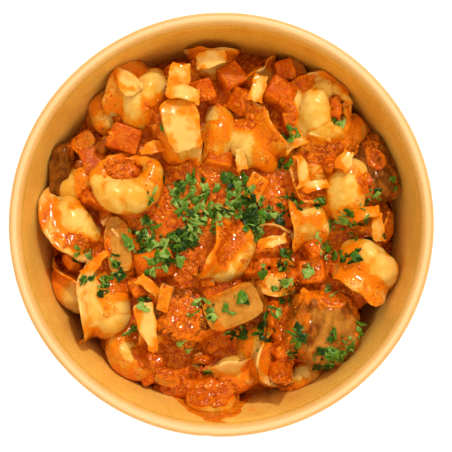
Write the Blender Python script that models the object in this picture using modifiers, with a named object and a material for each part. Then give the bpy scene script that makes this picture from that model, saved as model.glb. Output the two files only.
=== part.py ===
"""A round kraft-paper bowl of tortellini in tomato sauce, with mushroom, carrot and onion.

Frame: metres, +Z up, origin on the ground at the middle of the bowl's foot ring.
The bowl is turned about Z. Every piece of food has its own place in the heap. Where two pieces
press together the lower one takes the dent, and the sauce fills what is left below them all.
"""

import math
import random

import bmesh
import bpy
import numpy as np
from mathutils import Matrix, Vector
from mathutils.bvhtree import BVHTree

MM = 0.001
GAP = 0.3 * MM  # clear space kept between pieces that touch
CUT_GAP = 1.2 * GAP  # how far a cutter's corners move out, which clears its faces by about GAP
WELD = 0.01 * MM  # points closer than this are one
NEAR_FLAT = 12  # edges that turn by less than this many degrees are dissolved after a cut

# Bowl
BOWL_HEIGHT = 60 * MM
RIM_RADIUS = 75 * MM
FOOT_RADIUS = 64 * MM
PAPER = 0.6 * MM  # one layer of coated board
HEM = 1.9 * MM  # three layers pressed together at the foot
HEM_HEIGHT = 5 * MM
BEAD_WIDTH = 4.6 * MM  # rolled rim
BEAD_HEIGHT = 4.3 * MM
FLOOR_BOTTOM = 5.4 * MM
FLOOR_TOP = 6.0 * MM
BOWL_SIDES = 32
BEAD_ANGLES = (90, 50, 15, -20, -60, -105)  # corners of the rolled rim's outer side, degrees
BEAD_TURN_IN = 50  # where the roll meets the inside of the wall, degrees

# Sauce
SAUCE_MIDDLE = 44 * MM  # level among the pieces at the middle of the heap
SAUCE_EDGE = 36 * MM  # level at the wall
SAUCE_LEAST = 2 * MM  # thinnest layer left on the floor
SAUCE_CELLS = 18
SURVEY_STEP = 1 * MM  # spacing of the heights taken under the pieces
SURVEY_REACH = 1.45  # cells around a corner whose lowest height it takes

# One tortellino of size 1, a ring with a fat filled side and a thin joined side
RING_X = 8.0 * MM
RING_Y = 6.8 * MM
BELLY = 7.2 * MM  # tube radius at the filled side
JOINT = 2.4 * MM  # tube radius where the two ends are pressed together
BELLY_SHAPE = 1.5  # how fast the filling thins towards the joint
FIN_PEAK = 7.5 * MM  # pressed edge over the middle of the filling
FIN_HALF_THICK = 0.85 * MM
FIN_BASE_ANGLE = 22  # half of the sector that the fin takes of the tube, degrees
FIN_SHAPE = 0.7  # how fast the pressed edge narrows towards the joint
OPEN_LAYER = 45.5  # tops above this height (mm) lie open
OPEN_COUNTS = (10, 6)  # sections around the ring, and points on the filled round of each
LOW_COUNTS = (8, 5)

# name: x, y, height of the top (mm), turn, lift, roll (degrees), size, fin lean (degrees from outward)
# turn 0 has the filled side towards -Y; lift raises the filled side; roll 180 puts the fin underneath.
TORTELLINI = {
    # low pieces, mostly hidden
    "tortellino_01": (-39.5, 42.5, 41, -90, 15, 180, 0.76, 60),
    "tortellino_02": (1.0, -22.0, 41, 0, 20, 180, 0.85, 60),
    "tortellino_03": (-4.0, -61.0, 42, 0, 25, 180, 0.72, 60),
    "tortellino_04": (28.5, -54.5, 40, 40, 40, 180, 0.80, 60),
    "tortellino_05": (-50.5, 11.5, 43, -160, 35, 180, 0.88, 60),
    "tortellino_06": (-3.5, 61.0, 45, 0, 70, 0, 0.74, 50),
    "tortellino_07": (12.5, 55.5, 45, 30, 60, 0, 0.74, 50),
    "tortellino_08": (45.0, 34.5, 43, 60, 30, 180, 0.72, 60),
    "tortellino_09": (55.0, 0.5, 44, 70, 30, 0, 0.82, 50),
    "tortellino_10": (-30.5, -45.0, 43, -40, 8, 180, 1.00, 60),
    "tortellino_11": (20.5, -4.5, 45, 165, 45, 0, 0.82, 45),
    "tortellino_12": (-5.0, 34.0, 47, 75, 55, 180, 0.95, 60),
    "tortellino_30": (-15.5, 53.0, 46, 160, 50, 0, 0.68, 55),
    # the open layer
    "tortellino_13": (-27.5, 48.0, 48, -115, 48, 0, 1.05, 45),
    "tortellino_14": (-53.5, 0.5, 47, -75, -18, 0, 0.84, 35),
    "tortellino_15": (-55.0, -23.0, 46, -30, 60, 0, 0.92, 55),
    "tortellino_16": (3.5, -53.5, 49, 20, 60, 0, 1.05, 60),
    "tortellino_17": (20.5, -16.5, 46, -15, -5, 0, 0.66, 55),
    "tortellino_18": (33.0, 0.5, 49, 95, 75, 0, 0.88, 60),
    "tortellino_19": (38.5, 22.0, 46, -50, -12, 0, 0.82, 50),
    "tortellino_20": (55.5, -19.0, 50, 150, 48, 180, 1.05, 60),
    "tortellino_21": (39.5, 42.0, 50, -85, 14, 180, 0.84, 18),
    "tortellino_22": (21.0, -46.5, 50, -95, -52, 0, 1.10, 30),
    "tortellino_23": (-43.5, -29.5, 53, 86, 72, 0, 1.10, 55),
    "tortellino_24": (-25.5, -37.5, 50, 95, 90, 0, 0.66, 80),
    "tortellino_25": (-34.5, 18.5, 51, 6, 30, 180, 1.14, 70),
    "tortellino_26": (13.0, 31.0, 51, -48, 68, 0, 1.08, 60),
    "tortellino_27": (51.0, 11.5, 51, -100, 45, 180, 1.06, 60),
    "tortellino_28": (-15.5, 35.0, 53, -82, 66, 0, 1.14, 60),
    "tortellino_29": (0.5, -8.5, 53, 66, 56, 0, 1.14, 55),
}

# name: x, y, height of the top, length, width, height (mm), turn, tip (degrees)
CARROTS = {
    "carrot_01": (-48.0, 24.0, 42, 10.0, 11.5, 9.0, 20, 15),
    "carrot_02": (-36.5, 31.5, 47, 11.5, 9.5, 10.0, -18, 10),
    "carrot_03": (-6.5, 49.5, 48, 8.0, 8.5, 8.0, 18, -8),
    "carrot_04": (3.5, 54.5, 46, 9.0, 9.0, 8.0, 30, 12),
    "carrot_05": (7.5, 46.0, 46, 7.5, 9.0, 8.0, -25, -20),
    "carrot_06": (21.0, 48.5, 49, 10.5, 9.5, 9.0, -28, 14),
    "carrot_07": (23.5, 57.0, 43, 7.0, 8.0, 7.5, 15, 8),
    "carrot_08": (32.5, -17.5, 47, 9.5, 9.0, 8.5, 8, 10),
    "carrot_09": (34.0, -9.0, 50, 5.5, 6.0, 5.5, 35, 18),
    "carrot_10": (-24.5, -14.0, 46, 13.5, 10.0, 8.0, 12, -14),
    "carrot_11": (-31.0, -23.5, 45, 6.0, 7.0, 6.0, 24, 10),
    "carrot_12": (-27.5, -57.0, 39, 7.0, 6.0, 6.0, 30, 12),
    "carrot_13": (50.0, -25.0, 41, 12.0, 11.0, 8.0, 42, -12),
    "carrot_14": (-1.5, 24.5, 45, 9.5, 6.0, 7.0, -10, 16),
}

# name: x, y, height of the top, length, width, height (mm), turn, tip, roll (degrees), cut faces
MUSHROOMS = {
    "mushroom_01": (-60.0, 17.0, 43, 28.0, 9.5, 11.0, 84, 4, -18, "slice"),
    "mushroom_02": (-37.5, -8.5, 46, 24.0, 10.5, 9.0, 100, 6, 12, "slice"),
    "mushroom_03": (5.5, -30.0, 52, 23.0, 14.5, 12.0, 22, 6, -10, "wedge"),
    "mushroom_04": (-14.0, -34.0, 49, 24.0, 22.0, 14.0, -20, 8, 6, "cap"),
    "mushroom_05": (37.5, -38.0, 50, 29.0, 30.0, 17.0, -15, -6, 8, "cap"),
    "mushroom_06": (56.5, 20.5, 48, 28.0, 17.0, 15.0, -70, -8, -14, "cap"),
    "mushroom_07": (-51.5, 30.5, 39, 10.0, 8.0, 7.0, 40, 10, 0, "slice"),
    "mushroom_08": (27.5, 57.5, 39, 15.0, 8.0, 9.0, -60, 8, 10, "slice"),
    "mushroom_09": (-18.5, -58.0, 39, 16.0, 7.0, 7.0, -8, 4, 10, "slice"),
}

# name: x, y, height of the top, length, width, height (mm), turn, tip (degrees)
ONIONS = {
    "onion_01": (-20.5, -26.5, 51, 10.0, 4.6, 3.4, 78, 8),
    "onion_02": (12.5, 14.0, 46, 9.5, 7.0, 4.0, 62, -10),
}

# cut: segments around, rings, lower and upper knife flat (of 1), boxiness (1 is round), depth of folds
MUSHROOM_CUTS = {
    "slice": (10, 5, 0.55, 0.62, 0.72, 0.03),
    "wedge": (10, 5, 0.50, 0.70, 0.72, 0.03),
    "cap": (12, 6, 0.80, 0.90, 0.90, 0.07),
}

DICE_EDGE = 0.9  # width of the softened edges (mm)
ONION_EDGE = 0.6
DICE_SKEW = 0.10  # how far a cut corner may be off square, of the side

FINISHES = {
    "kraft": ((0.80, 0.38, 0.09, 1), 0.62),
    "pasta": ((0.90, 0.60, 0.20, 1), 0.38),
    "sauce": ((0.66, 0.10, 0.012, 1), 0.22),
    "carrot": ((0.86, 0.20, 0.01, 1), 0.32),
    "mushroom": ((0.34, 0.12, 0.025, 1), 0.35),
    "onion": ((0.80, 0.45, 0.18, 1), 0.28),
}


def material(name):
    """A Principled material of this object's own colour and roughness."""
    made = bpy.data.materials.get(name)
    if made:
        return made
    colour, roughness = FINISHES[name]
    made = bpy.data.materials.new(name)
    made.use_nodes = True
    shader = made.node_tree.nodes["Principled BSDF"]
    shader.inputs["Base Color"].default_value = colour
    shader.inputs["Roughness"].default_value = roughness
    shader.inputs["Metallic"].default_value = 0
    return made


def add_object(name, mesh, finish, collection):
    mesh.materials.append(material(finish))
    piece = bpy.data.objects.new(name, mesh)
    collection.objects.link(piece)
    return piece


def wall_radius(z):
    """Outer radius of the sloping wall at a height."""
    top = RIM_RADIUS - BEAD_WIDTH + PAPER
    return FOOT_RADIUS + (top - FOOT_RADIUS) * z / BOWL_HEIGHT


def room_radius(z):
    """Radius inside the wall's flats at a height, less the gap."""
    return (wall_radius(z) - PAPER) * math.cos(math.pi / BOWL_SIDES) - GAP


def turned(name, profile, finish, collection):
    """A closed solid turned about Z from an outline of (radius, height) points in the XZ plane."""
    mesh = bpy.data.meshes.new(name)
    loop = [(radius, 0, height) for radius, height in profile]
    ends = [(i, (i + 1) % len(loop)) for i in range(len(loop))]
    on_axis = profile[0][0] == 0 and profile[-1][0] == 0
    mesh.from_pydata(loop, ends[:-1] if on_axis else ends, [])
    piece = add_object(name, mesh, finish, collection)
    screw = piece.modifiers.new("Turn", "SCREW")
    screw.steps = screw.render_steps = BOWL_SIDES
    screw.use_merge_vertices = True
    screw.merge_threshold = 0.00001
    screw.use_smooth_shade = False
    return piece


def bowl(collection):
    """The wall with its rolled rim and folded foot, and the floor that it holds."""
    bead_r = RIM_RADIUS - BEAD_WIDTH / 2
    bead_z = BOWL_HEIGHT - BEAD_HEIGHT / 2
    turn_in = math.radians(BEAD_TURN_IN)
    bead = [
        (bead_r + BEAD_WIDTH / 2 * math.cos(a), bead_z + BEAD_HEIGHT / 2 * math.sin(a))
        for a in map(math.radians, BEAD_ANGLES)
    ]
    under = bead_z - BEAD_HEIGHT / 2
    wall = bead + [
        (wall_radius(under), under),
        (FOOT_RADIUS, 0),
        (FOOT_RADIUS - HEM, 0),
        (wall_radius(HEM_HEIGHT) - HEM, HEM_HEIGHT),
        (wall_radius(HEM_HEIGHT) - PAPER, HEM_HEIGHT),
        (wall_radius(bead_z) - PAPER, bead_z),
        (bead_r - BEAD_WIDTH / 2 * math.cos(turn_in), bead_z + BEAD_HEIGHT / 2 * math.sin(turn_in)),
    ]
    turned("bowl_wall", wall, "kraft", collection)
    edge = wall_radius(FLOOR_BOTTOM) - PAPER - GAP
    floor = [(0, FLOOR_TOP), (edge, FLOOR_TOP), (edge, FLOOR_BOTTOM), (0, FLOOR_BOTTOM)]
    turned("bowl_base", floor, "kraft", collection)


def tortellino_section(belly, fin, lean, rounds):
    """One cut of the tube: some points on the filled round, and two at the fin's edge."""
    points = []
    free = 360 - 2 * FIN_BASE_ANGLE
    for i in range(rounds):
        a = math.radians(lean + FIN_BASE_ANGLE + free * i / (rounds - 1))
        points.append((belly * math.cos(a), belly * math.sin(a)))
    a = math.radians(lean)
    out, up = math.cos(a), math.sin(a)
    for side in (1, -1):
        reach = belly + fin
        points.append((reach * out + side * FIN_HALF_THICK * up, reach * up - side * FIN_HALF_THICK * out))
    return points


def tortellino_mesh(name, size, lean, open_layer):
    """A torus reshaped into the filled ring: fat at -Y, pinched at +Y, with a pressed fin above."""
    sections, rounds = OPEN_COUNTS if open_layer else LOW_COUNTS
    around = rounds + 2
    bpy.ops.mesh.primitive_torus_add(
        major_segments=sections, minor_segments=around, major_radius=RING_X, minor_radius=JOINT
    )
    torus = bpy.context.object
    mesh = torus.data
    mesh.name = name
    bpy.data.objects.remove(torus)
    for i in range(sections):
        angle = math.tau * i / sections
        from_belly = math.atan2(math.cos(angle), -math.sin(angle))  # 0 at the filled side, pi at the joint
        fill = math.cos(from_belly / 2) ** 2
        belly = JOINT + (BELLY - JOINT) * fill**BELLY_SHAPE
        fin = FIN_PEAK * fill**FIN_SHAPE
        outward = Vector((math.cos(angle), math.sin(angle), 0))
        middle = Vector((RING_X * math.cos(angle), RING_Y * math.sin(angle), 0))
        for j, (out, up) in enumerate(tortellino_section(belly, fin, lean, rounds)):
            mesh.vertices[i * around + j].co = (middle + outward * out + Vector((0, 0, up))) * size
    face_outwards(mesh)
    return mesh


def face_outwards(mesh):
    work = bmesh.new()
    work.from_mesh(mesh)
    bmesh.ops.triangulate(work, faces=work.faces)
    bmesh.ops.recalc_face_normals(work, faces=work.faces)
    work.to_mesh(mesh)
    work.free()


def dice_mesh(name, length, width, height, edge):
    """A cut cube with softened edges, each corner a little off square."""
    chance = random.Random(name)
    work = bmesh.new()
    bmesh.ops.create_cube(work, size=1)
    for corner in work.verts:
        sides = (length * MM, width * MM, height * MM)
        skew = [1 + chance.uniform(-DICE_SKEW, DICE_SKEW) for _ in sides]
        corner.co = Vector([c * side * s for c, side, s in zip(corner.co, sides, skew)])
    bmesh.ops.bevel(work, geom=work.edges[:], offset=edge * MM, segments=1, profile=0.5, affect="EDGES")
    mesh = bpy.data.meshes.new(name)
    work.to_mesh(mesh)
    work.free()
    face_outwards(mesh)
    return mesh


def mushroom_mesh(name, length, width, height, cut):
    """A cooked piece of mushroom: a round flesh, shrunk in folds, with the flats that the knife left."""
    chance = random.Random(name)
    turns, rings, low, high, boxy, fold = MUSHROOM_CUTS[cut]
    work = bmesh.new()
    bmesh.ops.create_uvsphere(work, u_segments=turns, v_segments=rings, radius=1)
    lobes, phase = chance.choice((3, 4, 5)), chance.uniform(0, math.tau)
    for vert in work.verts:
        across = math.atan2(vert.co.y, vert.co.x)
        folded = vert.co * (1 + fold * math.sin(lobes * across + phase))
        x, y, z = (math.copysign(abs(c) ** boxy, c) for c in folded)
        z = max(-low, min(high, z)) / ((low + high) / 2)
        vert.co = Vector((x * length, y * width, z * height)) * (MM / 2)
    mesh = bpy.data.meshes.new(name)
    work.to_mesh(mesh)
    work.free()
    face_outwards(mesh)
    return mesh


def in_place(mesh, spot, turn, tip, roll):
    """Moves a mesh's points to where its piece lies: rolled, tipped, turned about +Z, then moved."""
    for angle, axis in ((roll, "Y"), (-tip, "X"), (turn, "Z")):
        mesh.transform(Matrix.Rotation(math.radians(angle), 4, axis))
    top = max(v.co.z for v in mesh.vertices)
    x, y, height = (c * MM for c in spot)
    mesh.transform(Matrix.Translation((x, y, height - top)))


def food_meshes():
    """Every piece of food in its place, as (name, finish, mesh), from the lowest to the highest."""
    made = []
    for name, (x, y, z, turn, lift, roll, size, lean) in TORTELLINI.items():
        mesh = tortellino_mesh(name, size, lean, open_layer=z > OPEN_LAYER)
        in_place(mesh, (x, y, z), turn, lift, roll)
        made.append((z, name, "pasta", mesh))
    for name, (x, y, z, length, width, height, turn, tip) in CARROTS.items():
        mesh = dice_mesh(name, length, width, height, DICE_EDGE)
        in_place(mesh, (x, y, z), turn, tip, tip)
        made.append((z, name, "carrot", mesh))
    for name, (x, y, z, length, width, height, turn, tip, roll, cut) in MUSHROOMS.items():
        mesh = mushroom_mesh(name, length, width, height, cut)
        in_place(mesh, (x, y, z), turn, tip, roll)
        made.append((z, name, "mushroom", mesh))
    for name, (x, y, z, length, width, height, turn, tip) in ONIONS.items():
        mesh = dice_mesh(name, length, width, height, ONION_EDGE)
        in_place(mesh, (x, y, z), turn, tip, 0)
        made.append((z, name, "onion", mesh))
    return [job[1:] for job in sorted(made, key=lambda job: job[:2])]


def grown(mesh, name, cutters):
    """A cutter: the same shape, larger all round by the clear gap."""
    points = [v.co + v.normal * CUT_GAP for v in mesh.vertices]
    copy = mesh.copy()
    copy.name = name
    for vert, point in zip(copy.vertices, points):
        vert.co = point
    return add_cutter(copy, cutters)


def add_cutter(mesh, cutters):
    cutter = bpy.data.objects.new(mesh.name, mesh)
    cutter.hide_render = True
    cutter.display_type = "WIRE"
    cutters.objects.link(cutter)
    return cutter


def room_in_bowl(cutters):
    """The space that food can take inside the wall, as a cutter."""
    top, low = BOWL_HEIGHT, FLOOR_TOP + GAP
    work = bmesh.new()
    bmesh.ops.create_cone(
        work,
        cap_ends=True,
        segments=BOWL_SIDES,
        radius1=room_radius(low),
        radius2=room_radius(top),
        depth=top - low,
        matrix=Matrix.Translation((0, 0, (top + low) / 2)),
    )
    mesh = bpy.data.meshes.new("room_in_bowl")
    work.to_mesh(mesh)
    work.free()
    return add_cutter(mesh, cutters)


def corners(mesh):
    """The two corners of a box around a mesh, with room for the gap."""
    points = np.array([v.co for v in mesh.vertices])
    return points.min(0) - 2 * GAP, points.max(0) + 2 * GAP


def keep_largest_body(mesh):
    """A thin tip that a cut leaves loose is dropped, so that the piece stays one body."""
    work = bmesh.new()
    work.from_mesh(mesh)
    bmesh.ops.remove_doubles(work, verts=work.verts, dist=WELD)
    left = set(work.verts)
    bodies = []
    while left:
        body, edge = set(), [left.pop()]
        while edge:
            vert = edge.pop()
            body.add(vert)
            for link in vert.link_edges:
                other = link.other_vert(vert)
                if other in left:
                    left.remove(other)
                    edge.append(other)
        bodies.append(body)
    bodies.sort(key=len)
    for body in bodies[:-1]:
        bmesh.ops.delete(work, geom=list(body), context="VERTS")
    bmesh.ops.dissolve_limit(work, angle_limit=math.radians(NEAR_FLAT), verts=work.verts, edges=work.edges)
    bmesh.ops.triangulate(work, faces=work.faces)
    work.to_mesh(mesh)
    work.free()


def cut_with(mesh, tools):
    """The mesh after each (cutter, operation)."""
    work = bpy.data.objects.new("work", mesh)
    bpy.context.scene.collection.objects.link(work)
    for cutter, operation in tools:
        boolean = work.modifiers.new("Cut", "BOOLEAN")
        boolean.solver = "EXACT"
        boolean.operation = operation
        boolean.object = cutter
    bpy.context.view_layer.update()
    graph = bpy.context.evaluated_depsgraph_get()
    result = bpy.data.meshes.new_from_object(work.evaluated_get(graph))
    bpy.data.objects.remove(work)
    keep_largest_body(result)
    return result


def add_food(collection, cutters):
    """The heap. Where two pieces press together, the lower one takes the dent."""
    made = food_meshes()
    room = room_in_bowl(cutters)
    boxes = [corners(mesh) for _, _, mesh in made]
    tools = [grown(mesh, f"{name}_grown", cutters) for name, _, mesh in made]
    for i, (name, finish, mesh) in enumerate(made):
        above = [
            (tools[j], "DIFFERENCE")
            for j in range(i + 1, len(made))
            if (boxes[i][0] < boxes[j][1]).all() and (boxes[j][0] < boxes[i][1]).all()
        ]
        piece_mesh = cut_with(mesh, [(room, "INTERSECT")] + above)
        piece_mesh.name = name
        piece_mesh.materials.clear()
        add_object(name, piece_mesh, finish, collection)
        print(f"{name}: cut by {len(above)}, {len(piece_mesh.polygons)} faces")


def tree_of(meshes):
    """One search tree over several meshes."""
    points, faces = [], []
    for mesh in meshes:
        start = len(points)
        points += [v.co.copy() for v in mesh.vertices]
        faces += [tuple(start + index for index in p.vertices) for p in mesh.polygons]
    return BVHTree.FromPolygons(points, faces)


def heights_under(food, reach, spread):
    """The lowest underside of the food near each point of a square survey, spread steps all round."""
    steps = int(2 * reach / SURVEY_STEP) + 1
    under = np.full((steps, steps), BOWL_HEIGHT)
    for i in range(steps):
        for j in range(steps):
            start = Vector((i * SURVEY_STEP - reach, j * SURVEY_STEP - reach, FLOOR_TOP))
            hit = food.ray_cast(start, Vector((0, 0, 1)))[0]
            if hit:
                under[i, j] = hit.z
    lowest = under.copy()
    for di in range(-spread, spread + 1):
        for dj in range(-spread, spread + 1):
            if di * di + dj * dj <= spread * spread:
                lowest = np.minimum(lowest, np.roll(under, (di, dj), (0, 1)))
    return lowest


def sauce(collection):
    """The body of sauce: up to its level between the pieces, and under every piece that lies on it."""
    reach = room_radius(SAUCE_EDGE)
    low = FLOOR_TOP + GAP
    spread = math.ceil(SURVEY_REACH * 2 * reach / SAUCE_CELLS / SURVEY_STEP)
    food = tree_of([piece.data for piece in collection.objects if not piece.name.startswith("bowl")])
    under = heights_under(food, reach, spread)

    work = bmesh.new()
    bmesh.ops.create_grid(work, x_segments=SAUCE_CELLS, y_segments=SAUCE_CELLS, size=1)
    for vert in work.verts:
        x, y, _ = vert.co
        vert.co.x, vert.co.y = x * math.sqrt(1 - y * y / 2) * reach, y * math.sqrt(1 - x * x / 2) * reach
        level = SAUCE_MIDDLE + (SAUCE_EDGE - SAUCE_MIDDLE) * (vert.co.xy.length / reach) ** 2
        i, j = (min(round((c + reach) / SURVEY_STEP), len(under) - 1) for c in vert.co.xy)
        vert.co.z = max(min(level, under[i, j] - 2 * GAP), low + SAUCE_LEAST)
        keep_inside(vert, room_radius(vert.co.z))
    rim = [edge for edge in work.edges if edge.is_boundary]
    skirt = bmesh.ops.extrude_edge_only(work, edges=rim)["geom"]
    for item in skirt:
        if isinstance(item, bmesh.types.BMVert):
            item.co.z = low
            keep_inside(item, room_radius(low))
    bmesh.ops.contextual_create(work, geom=[edge for edge in work.edges if edge.is_boundary])
    mesh = bpy.data.meshes.new("sauce")
    work.to_mesh(mesh)
    work.free()
    face_outwards(mesh)
    add_object("sauce", mesh, "sauce", collection)


def keep_inside(vert, limit):
    """Moves a point in towards the Z axis where it is farther out than the limit."""
    far = vert.co.xy.length
    if far > limit:
        vert.co.x, vert.co.y = vert.co.x * limit / far, vert.co.y * limit / far


def build():
    for old in list(bpy.data.objects):
        bpy.data.objects.remove(old)
    collection = bpy.data.collections.new("tortellini")
    cutters = bpy.data.collections.new("cutters")
    for group in (collection, cutters):
        bpy.context.scene.collection.children.link(group)
    bowl(collection)
    add_food(collection, cutters)
    sauce(collection)


build()
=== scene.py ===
# Tortellini in chunky tomato sauce with mushroom, carrot and parsley, in a kraft-paper bowl.
# Lengths in the dictionaries are millimetres and angles are degrees, unless a note says otherwise.
import math
import random

import bmesh
import bpy
import numpy as np
from mathutils import Matrix, Vector, noise
from mathutils.bvhtree import BVHTree


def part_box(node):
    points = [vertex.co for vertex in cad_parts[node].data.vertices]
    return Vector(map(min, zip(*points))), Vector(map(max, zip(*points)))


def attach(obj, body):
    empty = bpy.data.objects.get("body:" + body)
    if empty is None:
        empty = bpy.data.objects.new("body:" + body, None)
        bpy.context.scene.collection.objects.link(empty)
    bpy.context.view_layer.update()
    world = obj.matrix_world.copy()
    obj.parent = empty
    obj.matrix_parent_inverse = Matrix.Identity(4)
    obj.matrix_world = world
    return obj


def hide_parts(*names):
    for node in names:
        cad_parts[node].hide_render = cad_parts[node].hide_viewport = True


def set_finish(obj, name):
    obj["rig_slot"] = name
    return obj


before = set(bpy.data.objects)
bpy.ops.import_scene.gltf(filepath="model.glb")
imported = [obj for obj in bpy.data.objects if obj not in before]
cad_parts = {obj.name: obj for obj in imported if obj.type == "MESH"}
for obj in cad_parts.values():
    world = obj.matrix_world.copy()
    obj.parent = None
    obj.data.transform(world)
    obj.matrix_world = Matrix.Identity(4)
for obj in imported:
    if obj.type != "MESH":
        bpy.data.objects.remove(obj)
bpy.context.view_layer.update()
mm = 0.001
noise.seed_set(1795414039)  # without a seed, the swells made by noise_vector differ from run to run
print("frame loaded:", len(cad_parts), "nodes")


def ramp(low, high, value):
    # 0 below low and 1 above high, smooth between
    k = min(1.0, max(0.0, (value - low) / (high - low)))
    return k * k * (3 - 2 * k)


def rampArray(low, high, values):
    k = np.clip((values - low) / (high - low), 0, 1)
    return k * k * (3 - 2 * k)


def roughness(point, size, depth):
    # layered noise from -1 to 1, its largest swells about size across
    return noise.fractal(point / size, 1.0, 2.0, depth, noise_basis="PERLIN_ORIGINAL")


def lumps(point, size):
    # rounded grains: 1 on a grain's top, 0 in the furrow between two
    near, _ = noise.voronoi(point / size)
    return 1 - min(1.0, near[0] * 1.5) ** 2


def makeObject(name, work, material, smooth=True):
    mesh = bpy.data.meshes.new(name)
    work.to_mesh(mesh)
    work.free()
    mesh.materials.append(material)
    mesh.polygons.foreach_set("use_smooth", [smooth] * len(mesh.polygons))
    piece = bpy.data.objects.new(name, mesh)
    bpy.context.scene.collection.objects.link(piece)
    return piece


def faceOut(work):
    # a closed shape's faces all look away from its inside
    bmesh.ops.recalc_face_normals(work, faces=work.faces)
    if work.calc_volume(signed=True) < 0:
        bmesh.ops.reverse_faces(work, faces=work.faces)


def addTo(work, one):
    # puts a small shape's faces into the larger one, and frees it
    loose = bpy.data.meshes.new("loose")
    one.to_mesh(loose)
    one.free()
    work.from_mesh(loose)
    bpy.data.meshes.remove(loose)


def standIn(piece, slot=None, *nodes):
    # the piece rides on the root, may use a slot of the part, and may be shown instead of some nodes
    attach(piece, "root")
    if slot:
        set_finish(piece, slot)
    if nodes:
        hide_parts(*nodes)


def points(mesh):
    flat = np.empty(len(mesh.vertices) * 3)
    mesh.vertices.foreach_get("co", flat)
    return flat.reshape(-1, 3)


def setPoints(mesh, places):
    mesh.vertices.foreach_set("co", places.astype(np.float32).ravel())
    mesh.update()


def paint(mesh, name, values):
    # a value for each point, which a material can read
    layer = mesh.attributes.get(name) or mesh.attributes.new(name, "FLOAT", "POINT")
    layer.data.foreach_set("value", np.asarray(values, np.float32))


def turnedBy(turn, tip, roll):
    # rolled about Y, tipped about X, then turned about Z
    made = Matrix.Identity(3)
    for angle, axis in ((roll, "Y"), (-tip, "X"), (turn, "Z")):
        made = Matrix.Rotation(math.radians(angle), 3, axis) @ made
    return made


# the bowl's size
cadHigh = Vector(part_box("bowl_wall")[1]) / mm
bowl = {
    "height": cadHigh.z, "rim": 75.0, "foot": 64.0, "paper": 0.6, "hem": 1.9, "hemHeight": 5.0,
    "bead": 4.6, "beadHeight": 4.3, "floor": 6.0, "dish": 0.25, "steps": 240,
    # where the paper laps over itself, way round, and how gently it starts and ends
    "seamFrom": -94.5, "seamTo": -75.0, "overlap": 0.32, "softStart": 4.5, "softEnd": 4.0,
    "clear": 0.35,  # between the food and the wall
}


def outerRadius(z):
    top = bowl["rim"] - bowl["bead"] + bowl["paper"]
    return bowl["foot"] + (top - bowl["foot"]) * z / bowl["height"]


def innerRadius(z):
    return outerRadius(z) - bowl["paper"]


def lapAt(turn):
    # how far the wall stands in where its paper lies double
    return bowl["overlap"] * ramp(bowl["seamFrom"], bowl["seamFrom"] + bowl["softStart"], turn)


def place(tree, kind, inputs=None, **settings):
    # a new node, with its inputs set or linked
    node = tree.nodes.new(kind)
    for name, value in settings.items():
        setattr(node, name, value)
    for name, value in (inputs or {}).items():
        socket = node.inputs[name]
        if isinstance(value, bpy.types.NodeSocket):
            tree.links.new(value, socket)
        else:
            socket.default_value = value
    return node


def mixColours(tree, factor, first, second, blend="MIX"):
    node = place(tree, "ShaderNodeMix", {0: factor, 6: first, 7: second}, data_type="RGBA", blend_type=blend)
    return node.outputs[2]


def noiseAt(tree, spot, scale, detail=3.0, rough=0.55, warp=0.0):
    inputs = {"Vector": spot, "Scale": scale, "Detail": detail, "Roughness": rough, "Distortion": warp}
    return place(tree, "ShaderNodeTexNoise", inputs).outputs["Fac"]


def pulpAt(tree, spot, scale):
    # rounded grains, high in their middles
    cells = place(tree, "ShaderNodeTexVoronoi", {"Vector": spot, "Scale": scale}, feature="SMOOTH_F1")
    return calc(tree, "SUBTRACT", 1.0, cells.outputs["Distance"])


def between(tree, value, low, high, to=(0.0, 1.0)):
    inputs = {"Value": value, "From Min": low, "From Max": high, "To Min": to[0], "To Max": to[1]}
    return place(tree, "ShaderNodeMapRange", inputs, interpolation_type="SMOOTHSTEP").outputs["Result"]


def calc(tree, operation, first, second):
    return place(tree, "ShaderNodeMath", {0: first, 1: second}, operation=operation).outputs[0]


def scaledSum(tree, *pairs):
    # adds up values, each times its share
    parts = [calc(tree, "MULTIPLY", value, share) for value, share in pairs]
    total = parts[0]
    for part in parts[1:]:
        total = calc(tree, "ADD", total, part)
    return total


def bumpOf(tree, shader, height, strength, depth):
    bump = place(tree, "ShaderNodeBump", {"Height": height, "Strength": strength, "Distance": depth})
    tree.links.new(bump.outputs["Normal"], shader.inputs["Normal"])


def blend(tree, value, low, high, first, second):
    # from the first colour to the second as the value goes from low to high
    return mixColours(tree, between(tree, value, low, high), first, second)


def attribute(tree, name):
    return place(tree, "ShaderNodeAttribute", attribute_name=name).outputs["Fac"]


def objectSpot(tree):
    return place(tree, "ShaderNodeTexCoord").outputs["Object"]


def newGroup(name, inputs, outputs):
    group = bpy.data.node_groups.new(name, "ShaderNodeTree")
    for label, kind, value in inputs:
        group.interface.new_socket(label, in_out="INPUT", socket_type=kind).default_value = value
    for label, kind in outputs:
        group.interface.new_socket(label, in_out="OUTPUT", socket_type=kind)
    return group, group.nodes.new("NodeGroupInput"), group.nodes.new("NodeGroupOutput")


def newMaterial(name, **constants):
    material = bpy.data.materials.new(name)
    material.use_nodes = True
    shader = material.node_tree.nodes["Principled BSDF"]
    for socket, value in constants.items():
        shader.inputs[socket.replace("_", " ")].default_value = value
    return material, material.node_tree, shader


warm = (1.0, 0.62, 0.30, 1)  # the sheen of rough wet relief
film = {
    "tint": (0.97, 0.58, 0.06, 1),  # what a thin film lets through
    "full": (0.76, 0.165, 0.002, 1), "thick": (0.44, 0.058, 0.002, 1),
    # how wet a place is where the film starts and is whole, takes on its full colour, and is thick
    "thinAt": (-0.3, 0.55), "fullAt": (0.25, 0.95), "thickAt": (0.95, 1.7),
    "coat": (0.12, 0.45), "gloss": 0.08,  # clear coat from bare to covered, and the film's own roughness
}


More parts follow.
